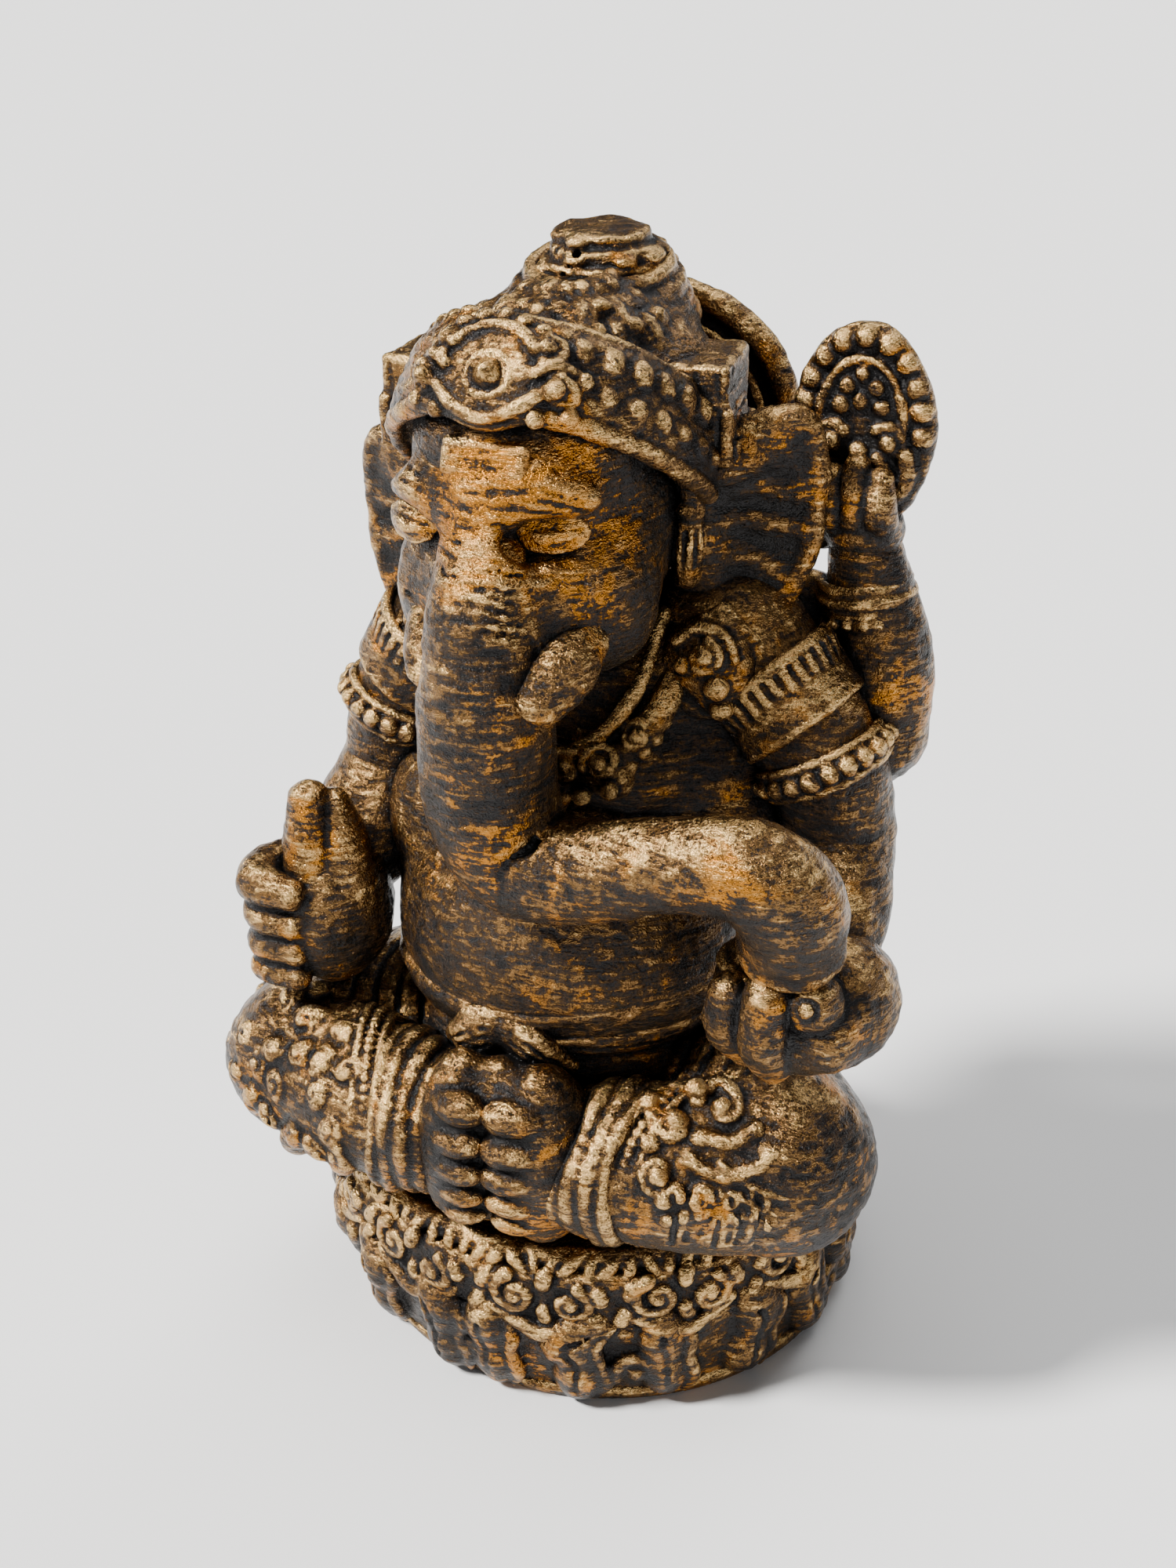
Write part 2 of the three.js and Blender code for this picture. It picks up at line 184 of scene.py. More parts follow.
# ---------- Clay: one piece, as a signed distance field ----------
class Clay:
    """A grid of distances to the surface of one piece, negative inside it."""

    def __init__(self, low, high, step=STEP):
        self.step = step
        first = np.floor((np.asarray(low, float) - MARGIN) / step)
        last = np.ceil((np.asarray(high, float) + MARGIN) / step)
        self.first = first * step
        self.shape = (last - first).astype(int) + 1
        self.field = np.full(self.shape, FAR, np.float32)
        self.axes = [
            (self.first[k] + step * np.arange(self.shape[k])).astype(np.float32) for k in range(3)
        ]

    def window(self, low, high):
        lo = np.clip(np.floor((low - self.first) / self.step).astype(int), 0, self.shape)
        hi = np.clip(np.ceil((high - self.first) / self.step).astype(int) + 1, 0, self.shape)
        cut = tuple(slice(a, b) for a, b in zip(lo, hi))
        x, y, z = (self.axes[k][cut[k]] for k in range(3))
        return cut, (x[:, None, None], y[None, :, None], z[None, None, :])

    def press(self, low, high, distance, blend=0.0, cut=False):
        """Joins a shape to the clay, or cuts it out, inside the box that the shape can reach."""
        room = MARGIN + blend
        place, axes = self.window(np.asarray(low) - room, np.asarray(high) + room)
        if min(s.stop - s.start for s in place) < 1:
            return self
        d = distance(*axes)
        here = self.field[place]
        if cut:
            self.field[place] = -smooth_min(-here, d, blend)
        else:
            self.field[place] = smooth_min(here, d, blend)
        return self

    def ball(self, centre, radii, turn=None, **how):
        c = np.asarray(centre, float)
        r = np.broadcast_to(np.asarray(radii, float), 3)
        matrix = turn_matrix(turn) if turn else None
        reach = np.full(3, r.max()) if turn else r

        def distance(x, y, z):
            px, py, pz = x - c[0], y - c[1], z - c[2]
            if matrix is not None:
                px, py, pz = turned(matrix, px, py, pz)
            near = np.sqrt((px / r[0])**2 + (py / r[1])**2 + (pz / r[2])**2)
            slope = np.sqrt((px / r[0]**2)**2 + (py / r[1]**2)**2 + (pz / r[2]**2)**2)
            return (near * (near - 1) / np.maximum(slope, TINY)).astype(np.float32)

        return self.press(c - reach, c + reach, distance, **how)

    def block(self, centre, half, turn=None, rounding=2.0, **how):
        c, h = np.asarray(centre, float), np.asarray(half, float)
        matrix = turn_matrix(turn or (0, 0, 0))
        reach = np.full(3, np.linalg.norm(h))

        def distance(x, y, z):
            local = turned(matrix, x - c[0], y - c[1], z - c[2])
            q = [np.abs(local[k]) - h[k] + rounding for k in range(3)]
            outside = np.sqrt(sum(np.maximum(v, 0)**2 for v in q))
            inside = np.minimum(np.maximum(np.maximum(q[0], q[1]), q[2]), 0)
            return (outside + inside - rounding).astype(np.float32)

        return self.press(c - reach, c + reach, distance, **how)

    def disc(self, centre, radius, half, rounding=2.0, **how):
        """A flat round tablet that lies level."""
        def distance(x, y, z):
            side = np.hypot(x - centre[0], y - centre[1]) - radius + rounding
            tall = np.abs(z - centre[2]) - half + rounding
            outside = np.hypot(np.maximum(side, 0), np.maximum(tall, 0))
            return outside + np.minimum(np.maximum(side, tall), 0) - rounding

        reach = vec(radius, radius, half)
        self.press(centre - reach, centre + reach, distance, **how)

    def tube(self, points, radii, closed=False, smooth=True, spacing=4.0, **how):
        """A round limb along a curve; radii is one number or one for each point."""
        rows = np.asarray(points, float)
        sizes = np.broadcast_to(np.asarray(radii, float), len(rows))
        rows = np.column_stack([rows, sizes])
        if smooth and len(rows) > 2:
            length = np.linalg.norm(np.diff(rows[:, :3], axis=0), axis=1).sum()
            rows = spline(rows, max(len(rows), int(length / spacing) + 2), closed)
        elif closed:
            rows = np.vstack([rows, rows[0]])
        low = (rows[:, :3] - rows[:, 3:]).min(0)
        high = (rows[:, :3] + rows[:, 3:]).max(0)

        def distance(x, y, z):
            out = np.full((x.size, y.size, z.size), FAR, np.float32)
            flat = (x.ravel(), y.ravel(), z.ravel())
            for a, b in zip(rows[:-1], rows[1:]):
                room = max(a[3], b[3]) + MARGIN + 2 + how.get("blend", 0.0)
                ends = [(min(a[k], b[k]) - room, max(a[k], b[k]) + room) for k in range(3)]
                cut = tuple(slice(*np.searchsorted(flat[k], ends[k])) for k in range(3))
                px, py, pz = x[cut[0]] - a[0], y[:, cut[1]] - a[1], z[:, :, cut[2]] - a[2]
                d = b[:3] - a[:3]
                t = np.clip((px * d[0] + py * d[1] + pz * d[2]) / max(d @ d, TINY), 0, 1)
                gap = np.sqrt((px - t * d[0])**2 + (py - t * d[1])**2 + (pz - t * d[2])**2)
                gap -= a[3] + t * (b[3] - a[3])
                np.minimum(out[cut], gap, out=out[cut])
            return out

        return self.press(low, high, distance, **how)

    def hoop(self, points, radii, **how):
        """A closed tube through points that already lie close together."""
        return self.tube(points, radii, closed=True, smooth=False, **how)

    def beads(self, points, radius, **how):
        for point in np.asarray(points, float):
            self.ball(point, radius, **how)
        return self

    def keep(self, point, normal, blend=0.0):
        """Cuts away what lies beyond a plane."""
        x, y, z = self.axes[0][:, None, None], self.axes[1][None, :, None], self.axes[2][None, None, :]
        n = unit(normal)
        side = (x - point[0]) * n[0] + (y - point[1]) * n[1] + (z - point[2]) * n[2]
        self.field = -smooth_min(-self.field, -side.astype(np.float32), blend)
        return self

    def at(self, points):
        return sample(self.field, (np.asarray(points, float) - self.first) / self.step)

    def land(self, points, along, reach=45.0, depth=0.0):
        """Moves points along a direction until they meet the surface, then depth further."""
        points = np.array(points, float)
        n = unit(along)
        touching, caution, stride = 0.3, 0.7, 1.0
        travelled = np.zeros(len(points))
        moving = np.ones(len(points), bool)
        while moving.any() and travelled.max() < reach:
            value = self.at(points + n * travelled[:, None])
            moving &= value > touching
            travelled[moving] += np.clip(value[moving] * caution, touching, stride)
        return points + n * (travelled + depth)[:, None]


class Patch:
    """A flat drawing held over the clay and laid down on it along its own normal."""

    BEYOND = 30.0                           # how far past its centre a drawing may fall, mm
    NEAR_END = 1.5                          # a point that stops this close to the end has met nothing

    def __init__(self, clay, centre, out, up=(0, 0, 1), lift=20.0):
        self.clay, self.lift = clay, lift
        self.centre = np.asarray(centre, float)
        self.out = unit(out)
        self.across = unit(np.cross(up, self.out))
        self.up = np.cross(self.out, self.across)

    def lay(self, drawing, depth=0.0):
        drawing = np.asarray(drawing, float)
        start = self.centre + self.out * self.lift
        points = start + drawing[:, :1] * self.across + drawing[:, 1:2] * self.up
        return self.clay.land(points, -self.out, reach=self.lift + self.BEYOND, depth=depth)

    def landed(self, points, depth=0.0):
        """Tells which points met the surface rather than passing it by."""
        return (points - self.centre) @ self.out + depth > self.NEAR_END - self.BEYOND

    def ridge(self, drawing, radius=1.8, depth=0.3, **how):
        points = self.lay(drawing, depth)
        points = points[self.landed(points, depth)]
        if len(points) > 1:
            self.clay.tube(points, radius, spacing=3.0, blend=how.pop("blend", 0.8), **how)

    def groove(self, drawing, radius=1.0, depth=-0.2):
        self.ridge(drawing, radius, depth, cut=True)

    def scroll(self, at, size, hand=1, start=0, radius=1.8, turns=1.4):
        drawing = spiral(size, turns, hand, start) + np.asarray(at, float)
        taper = np.linspace(radius, radius * 0.75, len(drawing))
        points = self.lay(drawing, 0.4)
        if self.landed(points, 0.4).all():
            self.clay.tube(points, taper, spacing=3.0, blend=0.6)
            self.clay.ball(self.lay([at], 0.3)[0], radius * 1.3, blend=0.6)

    def dots(self, drawing, radius, depth=0.0, **how):
        points = self.lay(drawing, depth)
        self.clay.beads(points[self.landed(points, depth)], radius, blend=0.5, **how)


# ---------- The body masses ----------
# Places are in millimetres in the shared frame: +X the figure's left, -Y its front, +Z up.
def build_belly():
    clay = Clay((-98, -96, 150), (98, 50, 296))
    clay.ball((2, -22, 216), (79, 67, 57))
    clay.ball((2, -28, 196), (73, 59, 38), blend=20)
    clay.ball((4, -4, 254), (84, 48, 34), blend=16)
    clay.ball((-62, -12, 246), (27, 34, 34), blend=14)
    clay.ball((70, 0, 262), (24, 34, 30), blend=14)
    return clay


def build_chest():
    clay = Clay((-80, -56, 236), (96, 58, 362))
    clay.ball((0, 4, 300), (70, 50, 60))
    for side in (LEFT, RIGHT):
        clay.ball((side * 27, -28, 292), (29, 20, 24), blend=10)
        clay.ball((side * 44, 0, 330), (30, 32, 26), blend=14)
        clay.ball((side * 56, 2, 282), (24, 34, 34), blend=14)
    clay.ball((68, 4, 278), (24, 30, 34), blend=12)
    clay.ball((-2, 6, 350), (42, 40, 26), blend=10)
    return clay


def build_hips():
    clay = Clay((-92, -90, 82), (92, 84, 196))
    clay.ball((0, 0, 138), (86, 78, 58))
    clay.ball((0, -40, 150), (58, 40, 34), blend=16)
    clay.keep((0, 0, 86), (0, 0, -1), blend=3)
    patch = Patch(clay, (0, 70, 140), (0, 1, 0), lift=40)
    for fold in np.linspace(-58, 58, 9):
        patch.groove([(fold, 44), (fold * 1.08, 10), (fold * 1.15, -40)], 1.6)
    return clay


def build_waistband():
    """The rolled edge of the cloth, which rises and falls across the front, over the wrapped cloth."""
    clay = Clay((-88, -102, 160), (92, 54, 218), COARSE * FINE)
    clay.ball((1, -25, 184), (77, 65, 26))
    clay.ball((2, -22, 219), (76, 64.5, 34), cut=True, blend=3)
    around = np.radians(np.linspace(0, 360, 61))[:-1]
    height = 195 + 7 * np.cos(around) - 2.2 * np.sin(3 * around + 0.5)
    rim = np.column_stack([2 + 77.5 * np.cos(around), -22 + 66.5 * np.sin(around), height])
    clay.tube(rim, 3.6, closed=True, blend=8)
    for k, drop in enumerate((9, 15, 21)):
        sag = np.outer(1 + 0.3 * np.sin(around * 2 + k), vec(0, 0, drop))
        fold = rim * vec(1 - 0.006 * k, 1 - 0.006 * k, 1) - sag
        clay.tube(fold, 1.2, closed=True, cut=True, blend=2)
    return clay


def build_sash_knot():
    clay = Clay((-44, -108, 150), (46, -54, 206), FINE)
    clay.ball((-4, -78, 180), (27, 14, 16))
    clay.ball((-14, -88, 189), (10, 6, 6), blend=6)
    for side, drop in ((-1, 0), (1, 3)):
        for k in range(3):
            root = (-4 + side * 5, -89, 189 - 4 * k)
            bend = (-4 + side * (17 - 2 * k), -91, 183 - 6 * k)
            tip = (-4 + side * (28 - 6 * k), -82 + 2 * k, 172 - 5 * k - drop)
            clay.tube([root, bend, tip], [5, 6, 3.5], blend=5)
    patch = Patch(clay, (-4, -92, 180), (0, -1, 0.35), lift=14)
    for side in (-1, 1):
        for k in range(3):
            patch.groove([(side * 5, 7 - 4 * k), (side * 15, 3 - 5 * k), (side * 26, -5 - 4 * k)], 0.9)
    return clay


def build_necklace():
    clay = Clay((-64, -78, 262), (66, -6, 360), FINE)
    half = [(0, -54, 294), (28, -50, 302), (47, -38, 322), (52, -14, 348)]
    collar = [(-x, y, z) for x, y, z in half[:0:-1]] + half
    clay.tube(collar, [6, 7, 8, 9, 8, 7, 6])
    inner = [(x * 0.82, y - 4, z + 9) for x, y, z in collar]
    clay.tube(inner, 3.5, blend=2)
    lower = spline([(x * 1.04, y - 5, z - 7) for x, y, z in collar], 60)
    clay.beads(resample(lower, 7.5), 3.4, blend=1)
    clay.ball((0, -56, 286), (15, 9, 14), blend=5)
    for side in (LEFT, RIGHT):
        clay.ball((side * 30, -54, 300), (14, 8, 9), turn=(0, side * 35, 0), blend=4)
    patch = Patch(clay, (0, -60, 298), (0, -1, 0.25), lift=20)
    for side in (LEFT, RIGHT):
        patch.scroll((side * 15, 4), 7, hand=side, start=90 - side * 20, radius=2.2)
        patch.scroll((side * 30, 8), 7.5, hand=-side, start=200, radius=2.4)
        patch.scroll((side * 42, 20), 6, hand=side, start=60, radius=2.0)
        patch.scroll((side * 7, -11), 5.5, hand=-side, start=-60, radius=2.0)
        patch.dots([(side * 22, -8), (side * 35, -3)], 4.0, depth=-1)
    patch.dots([(0, -2), (0, -24)], 4.6, depth=-1)
    return clay


# ---------- Legs ----------
KNEE = {LEFT: (vec(111, -62, 129), 42), RIGHT: (vec(-118, -62, 124), 38)}
CUFF = {side: vec(side * 47, -92, 131) for side in (LEFT, RIGHT)}


def build_leg(side):
    knee, size = KNEE[side]
    low, high = sorted((0.0, side * 162.0))
    clay = Clay((low - 4, -112, 80), (high + 4, 50, 184))
    clay.tube([(side * 34, 4, 138), (side * 84, -32, 130), knee], [44, 45, size], spacing=8)
    clay.ball(knee, size + 0.5, blend=6)
    clay.keep((0, 0, 86), (0, 0, -1), blend=4)
    top = Patch(clay, knee + vec(-side * 30, 26, 20), (0, -0.2, 1), up=(0, 1, 0), lift=50)
    for k in range(5):
        shift = -side * (k * 11 - 14)
        top.groove([(shift, -30), (shift + side * 5, -5), (shift + side * 3, 26)], 1.4)
    front = Patch(clay, knee, (side * 0.85, -0.5, 0.35), lift=60)
    for row in range(4):
        for k in range(-2, 3):
            shape = arc((7, 8), 200, 340, 8) + vec(k * 15 + (row % 2) * 7.5, 14 - row * 12)
            front.groove(shape, 1.0)
    return clay


def build_shin(side):
    knee, size = KNEE[side]
    cuff = CUFF[side]
    low, high = sorted((side * 4.0, side * 162.0))
    clay = Clay((low - 2, -134, 76), (high + 2, -14, 184), FINE)
    near_cuff = cuff + vec(-side * 22, 0, 0)
    line = [near_cuff, cuff, vec(side * 78, -82, 129), knee + vec(-side * 4, -2, 0)]
    clay.tube(line, [29, 32, 37, size + 0.5], spacing=6)
    clay.keep((0, 0, 85), (0, 0, -1), blend=4)
    if side == RIGHT:
        add_plates(clay, knee + vec(15, -2, 4), vec(-0.25, -0.85, 0.5), (43, 38), 34, 6)
    else:
        carve_leg_ornament(Patch(clay, vec(84, -86, 132), vec(0.28, -0.9, 0.5), lift=60), side)
        add_drapery(Patch(clay, knee, vec(0.45, -0.85, 0.3), lift=60))
    add_hem(clay, side)
    return clay


def add_plates(clay, centre, out, spread, count, seed):
    """Leafy carving: broad lumps scattered over the clay, with a curling cut into each."""
    draw = np.random.default_rng(seed)
    patch = Patch(clay, centre, out, lift=60)
    kept = []
    for _ in range(count * 10):
        spot = draw.uniform(-1, 1, 2) * spread
        if len(kept) < count and all(np.hypot(*(spot - other)) > 12.0 for other in kept):
            kept.append(spot)
    for x, y in kept:
        turn = draw.uniform(0, math.pi)
        reach = draw.uniform(5, 8)
        dx, dy = reach * math.cos(turn), reach * math.sin(turn)
        leaf = patch.lay([(x - dx, y - dy), (x + dy * 0.25, y - dx * 0.25), (x + dx, y + dy)], 4.6)
        if patch.landed(leaf, 4.6).all():
            clay.tube(leaf, [5.0, 8.0, 4.5], spacing=3, blend=0.7)
    for x, y in kept:
        turn = draw.uniform(0, 2 * math.pi)
        curl = spiral(draw.uniform(6, 9), 0.75, 1 if x > 0 else -1, math.degrees(turn), 8) + vec(x, y)
        patch.groove(curl, draw.uniform(0.9, 1.5))


def add_drapery(patch):
    """Curved hanging folds on the left knee."""
    patch.ridge([(-30, 14), (-14, 2), (6, -2), (24, 8), (34, 22)], 1.8)
    patch.ridge([(-26, 2), (-10, -8), (8, -11), (24, -4), (36, 8)], 1.6)
    for k in range(9):
        x = -24 + 6.5 * k
        top = -9 - 3 * math.cos(k * 0.7) + 0.010 * x * x
        patch.groove([(x, top), (x + 1.5, top - 9), (x, top - 18 + 2 * (k % 3))], 1.1)
    for k in range(5):
        patch.groove([(-10 + 9 * k, 26 - 2 * k), (-4 + 9 * k, 15 - k), (-8 + 10 * k, 6)], 1.0)


def carve_leg_ornament(patch, side):
    """Leafy scrolls on the thigh cloth, over a field of short hanging strokes."""
    patch.scroll((-side * 10, 24), 11.5, hand=side, start=40, radius=4.2, turns=1.0)
    patch.scroll((side * 10, 30), 9, hand=-side, start=150, radius=3.6, turns=1.0)
    patch.scroll((-side * 16, 3), 8.5, hand=-side, start=-40, radius=3.6, turns=1.0)
    stem = [(-side * 4, 10), (side * 8, 4), (side * 22, 6), (side * 32, 14)]
    patch.ridge(stem, 3.4, depth=1.2, blend=2)
    patch.ridge([(side * 1, 18), (side * 14, 17), (side * 24, 22)], 4.4, depth=1.8, blend=2)
    patch.dots([(-side * 2, 36), (-side * 20, 15), (side * 2, -3), (-side * 21, 30)], 5.2, depth=1.6)
    for k in range(7):
        x = side * (k * 7.0 - 14)
        patch.dots([(x, -7 + 3 * (k % 2)), (x + side * 2, -16 + 2 * (k % 3))], 4.4, depth=2.2)
    for k in range(9):
        x = side * (k * 6.0 - 10)
        stroke = [(x, -4 + 3 * (k % 2)), (x + side * 1.4, -15), (x - side * 0.6, -30 + 3 * (k % 3))]
        patch.groove(stroke, 1.3)


def add_hem(clay, side):
    """Two cords with a row of beads between them, round the leg at the edge of the cloth."""
    around = np.radians(np.arange(0, 360, 7))
    tilt = unit((side * 0.3, 1, 0))
    for shift, size, beaded in ((64, 2.2, False), (70, 2.8, True), (76, 2.2, False)):
        centre = vec(side * shift, -90 + 0.22 * (shift - 47), 130.5)
        reach = 33.5 + 0.125 * (shift - 47)
        ring = centre + reach * swing(around, tilt, vec(0, 0, 1))
        if beaded:
            clay.beads(ring, size, blend=0.4)
        else:
            clay.hoop(ring, size, blend=1)


def build_cuff(side):
    """Gathered cloth: broad folds that run round the shin beside the foot."""
    low, high = sorted((side * 26.0, side * 64.0))
    clay = Clay((low - 2, -134, 84), (high + 2, -46, 178), FINE)
    around = np.radians(np.arange(0, 360, 6))
    for k, shift in enumerate((35, 43, 51, 57.5)):
        centre = vec(side * shift, -92 + 0.1 * (shift - 45), 131)
        wobble = (28.0, 30.5, 32.0, 33.0)[k] + 0.9 * np.sin(around * 4 + k * 1.9)
        ring = centre + wobble[:, None] * swing(around, vec(side * 0.1, 1, 0), vec(0, 0, 1))
        ring[:, 0] += side * 1.3 * np.sin(around * 3 + k)
        clay.hoop(ring, (5.2, 5.4, 5.0, 3.4)[k], blend=1.6)
    return clay


def build_foot(side):
    """A plump sole seen from the toes: the toes are stacked from the great toe down."""
    centre = vec(17.5, -106, 136) if side == LEFT else vec(-15, -107, 136)
    clay = Clay(centre - vec(32, 34, 52), centre + vec(32, 32, 52), FINE)
    clay.ball(centre + vec(side * 1, 0, 0), (21 if side == LEFT else 18, 22, 45))
    clay.ball(centre + vec(side * 4, 3, 0), (20 if side == LEFT else 15, 23, 40), blend=8)
    clay.ball((1, -103, 137), (18, 22, 43), blend=8)
    inner = centre[0] - side * 4.0
    wide = 14.5 if side == LEFT else 13.0
    toes = (
        (wide, 9.5, 8.6, -14, 28.5), (wide, 9.5, 7.9, -17.5, 14.0), (wide, 9, 7.4, -18.5, 0),
        (wide - 1, 8.5, 6.8, -17, -13.5), (wide - 2, 8, 6.2, -14, -26.5),
    )
    for *size, deep, rise in toes:
        toe = vec(inner, centre[1] + deep, centre[2] + rise)
        clay.ball(toe, size, turn=(0, 0, side * 12), blend=1.2)
    parting = [(1, -127, 172), (1, -132, 150), (1, -133, 130), (1, -127, 104)]
    clay.tube(parting, 1.2, cut=True, blend=1.5)
    return clay


# ---------- Arms ----------
ARM = {
    LEFT: [(57, 8, 343), (86, 4, 322), (108, 0, 292), (116, 0, 262)],
    RIGHT: [(-50, 8, 338), (-74, 5, 314), (-89, 2, 284), (-94, -2, 256)],
}


def ring_round(centre, axis, radius, count=48):
    """Points on a circle about an axis."""
    axis = unit(axis)
    one = unit(np.cross(axis, (0, 1, 0)))
    two = np.cross(axis, one)
    angle = np.linspace(0, 2 * math.pi, count, endpoint=False)
    return np.asarray(centre) + radius * swing(angle, one, two)


def arm_axis(side, share):
    """A point on an upper arm and the direction of the arm there."""
    line = spline(ARM[side], 101)
    k = int(share * 98) + 1
    return line[k], unit(line[k + 1] - line[k - 1])


def build_upper_arm(side):
    line = np.array(ARM[side], float)
    clay = Clay(line.min(0) - 34, line.max(0) + 34)
    clay.tube(line, [30, 28, 26, 24.5], spacing=7)
    clay.ball(line[0] + vec(side * 4, 0, 2), (31, 28, 28), blend=8)
    return clay


def build_armlet(side):
    """A sleeve cuff high on the arm, with a short fringe along its upper edge."""
    centre, axis = arm_axis(side, 0.38)
    clay = Clay(centre - 46, centre + 46, FINE)
    for shift, reach in ((-10, 27.5), (-4, 26.5), (3, 26), (9, 25.5)):
        clay.hoop(ring_round(centre + axis * shift, axis, reach, 60), 4.8, blend=3)
    for spoke in ring_round(centre, axis, 31.4, 30):
        clay.tube([spoke - axis * 11, spoke - axis * 1], 1.3, cut=True, blend=1)
    clay.hoop(ring_round(centre - axis * 13.5, axis, 29.5, 60), 2.6, blend=1)
    clay.hoop(ring_round(centre + axis * 12.5, axis, 28.0, 60), 2.2, blend=1)
    return clay


def build_bead_armband(side):
    centre, axis = arm_axis(side, 0.66)
    clay = Clay(centre - 44, centre + 44, FINE)
    clay.hoop(ring_round(centre, axis, 25.5, 60), 4.6)
    for shift in (-5.6, 5.6):
        clay.hoop(ring_round(centre + axis * shift, axis, 27.5, 60), 2.3, blend=1)
    clay.beads(ring_round(centre, axis, 29.0, 22), 4.6, blend=0.8)
    return clay


def build_shoulder_drape(side):
    """The pointed fold of cloth over the shoulder, with a leaf clasp hanging from it."""
    x, _, z = ARM[side][0]
    centre = vec(x + side * 3, -14, z - 8)
    clay = Clay(centre - 40, centre + 40, FINE)
    clay.ball(centre, (23, 20, 25), turn=(0, side * 30, 0))
    peak = centre + vec(side * 8, -2, 26)
    body = [centre + vec(side * 6, -6, 4), centre + vec(side * 8, -5, 16), peak]
    outer = [peak, peak + vec(side * 12, 2, -12), peak + vec(side * 21, 2, -26)]
    inner = [peak, peak + vec(-side * 12, -6, -8), peak + vec(-side * 22, -10, -22)]
    clay.tube(body, [15, 9, 3.5], blend=6)
    clay.tube(outer, [3, 4, 3.5], blend=3)
    clay.tube(inner, [3, 4.5, 3.5], blend=3)
    patch = Patch(clay, centre, (side * 0.35, -0.9, 0.45), lift=30)
    patch.ridge([(-side * 13, 10), (-side * 4, 15), (side * 7, 11), (side * 10, 2)], 2.6)
    patch.scroll((-side * 2, 3), 6.5, hand=-side, start=70, radius=2.8)
    patch.dots([(side * 3, -9), (side * 5, -17)], 5.2)
    patch.dots([(side * 2, -24), (-side * 11, 0)], 3.6)
    for k in range(4):
        shift = side * k * 3
        patch.groove([(-side * 16 + shift, -4 - 3 * k), (-side * 10 + shift, -15 - 2 * k)], 1.3)
    return clay


FOREARM = {
    LEFT: ([(116, -2, 254), (121, -26, 232), (117, -46, 218)], [25, 24, 22]),
    RIGHT: ([(-94, -3, 250), (-102, -26, 228), (-108, -44, 215)], [27, 26.5, 22]),
}


def build_forearm(side):
    line, sizes = FOREARM[side]
    line = np.array(line, float)
    clay = Clay(line.min(0) - 28, line.max(0) + 28)
    clay.tube(line, sizes, spacing=6)
    return clay


BOWL = vec(115, -64, 217)


def build_left_hand():
    """A cupped palm: two fingers stand up against the bowl, beside a round sweet."""
    clay = Clay(BOWL - vec(42, 50, 48), BOWL + vec(54, 44, 44), FINE)
    clay.ball(BOWL + vec(5, 0, -3), (35, 34, 28))
    clay.ball(BOWL + vec(19, 4, 0), (26, 28, 26), blend=8)
    for out, size in ((-18, 9.2), (-1, 10.2)):
        lean = 0.014 * (out - 3)**2
        root = BOWL + vec(out * 0.8 + 2, -26 + lean, -17)
        knuckle = BOWL + vec(out, -34 + lean, -2)
        tip = BOWL + vec(out + 1, -33 + lean, 19 + 0.3 * out)
        clay.tube([root, knuckle, tip], [size * 0.85, size, size * 0.98], blend=1.0)
    clay.ball(BOWL + vec(21, -17, -2), (16, 17, 17), blend=2.5)
    clay.ball(BOWL + vec(17, -25, 16), 12.5, blend=1.2)
    dimple = ring_round(BOWL + vec(17, -36.5, 19), (0.1, -1, 0.3), 4.6)
    clay.tube(dimple, 1.4, closed=True, cut=True, blend=1.2)
    clay.ball(BOWL + vec(2, 0, 38), (20, 18, 18), cut=True, blend=6)
    return clay


def build_bowl():
    """The sweet bowl that the trunk dips into."""
    clay = Clay(BOWL - 36, BOWL + 36, FINE)
    clay.ball(BOWL, 32)
    clay.ball(BOWL + vec(4, -20, 44), (34, 34, 26), cut=True, blend=3)
    clay.tube(ring_round(BOWL + vec(0, 0, 14), (0, 0.2, 1), 28), 2.6, closed=True, blend=1.5)
    return clay


FIST = vec(-109, -58, 207)


def build_right_hand():
    clay = Clay(FIST - vec(40, 44, 46), FIST + vec(38, 34, 44), FINE)
    clay.ball(FIST + vec(6, 0, 0), (23, 26, 37))
    clay.ball(FIST + vec(11, 4, 2), (22, 25, 33), blend=8)
    for row, (rise, size) in enumerate(((21, 9.6), (5, 8.6), (-9, 8.4), (-22, 8.0))):
        back = FIST + vec(-11, 8, rise)
        knuckle = FIST + vec(-20.5 + row * 1.2, -8, rise - 1)
        bend = FIST + vec(-16, -22, rise - 1)
        tip = FIST + vec(0, -24, rise - 2)
        clay.tube([back, knuckle, bend, tip], [size - 1, size, size, size * 0.8], blend=2.2)
    return clay


def build_right_thumb():
    clay = Clay(FIST - vec(26, 34, -4), FIST + vec(40, 30, 78), FINE)
    clay.tube(FIST + np.array([(4, -8, 20), (3, -8, 42), (3, -6, 58)]), [13, 11.5, 9.5])
    clay.tube(FIST + np.array([(17, -2, 18), (15, -1, 40), (12, 0, 55)]), [15, 11, 7.5], blend=2)
    nail = arc((5, 7), 0, 350, 14) @ np.array([[1, 0, 0], [0, 0.25, 1]]) + (FIST + vec(1, -17, 58))
    clay.tube(nail, 0.9, cut=True, blend=0.6)
    return clay


REAR = {LEFT: (vec(122, 28, 296), vec(112, 35, 364)), RIGHT: (vec(-80, 56, 294), vec(-72, 60, 354))}


def build_rear_upper_arm(side):
    elbow, _ = REAR[side]
    line = [(side * 48, 22, 335), ((elbow[0] + side * 50) / 2, 34, 310), elbow + vec(-side * 3, 0, -4)]
    clay = Clay(np.min(line, axis=0) - 28, np.max(line, axis=0) + 36)
    clay.tube(line, [25, 23, 22], spacing=6)
    if side == LEFT:                        # stone left between the shoulder and the raised forearm
        clay.ball((89, 34, 338), (19, 14, 25), blend=10)
    return clay


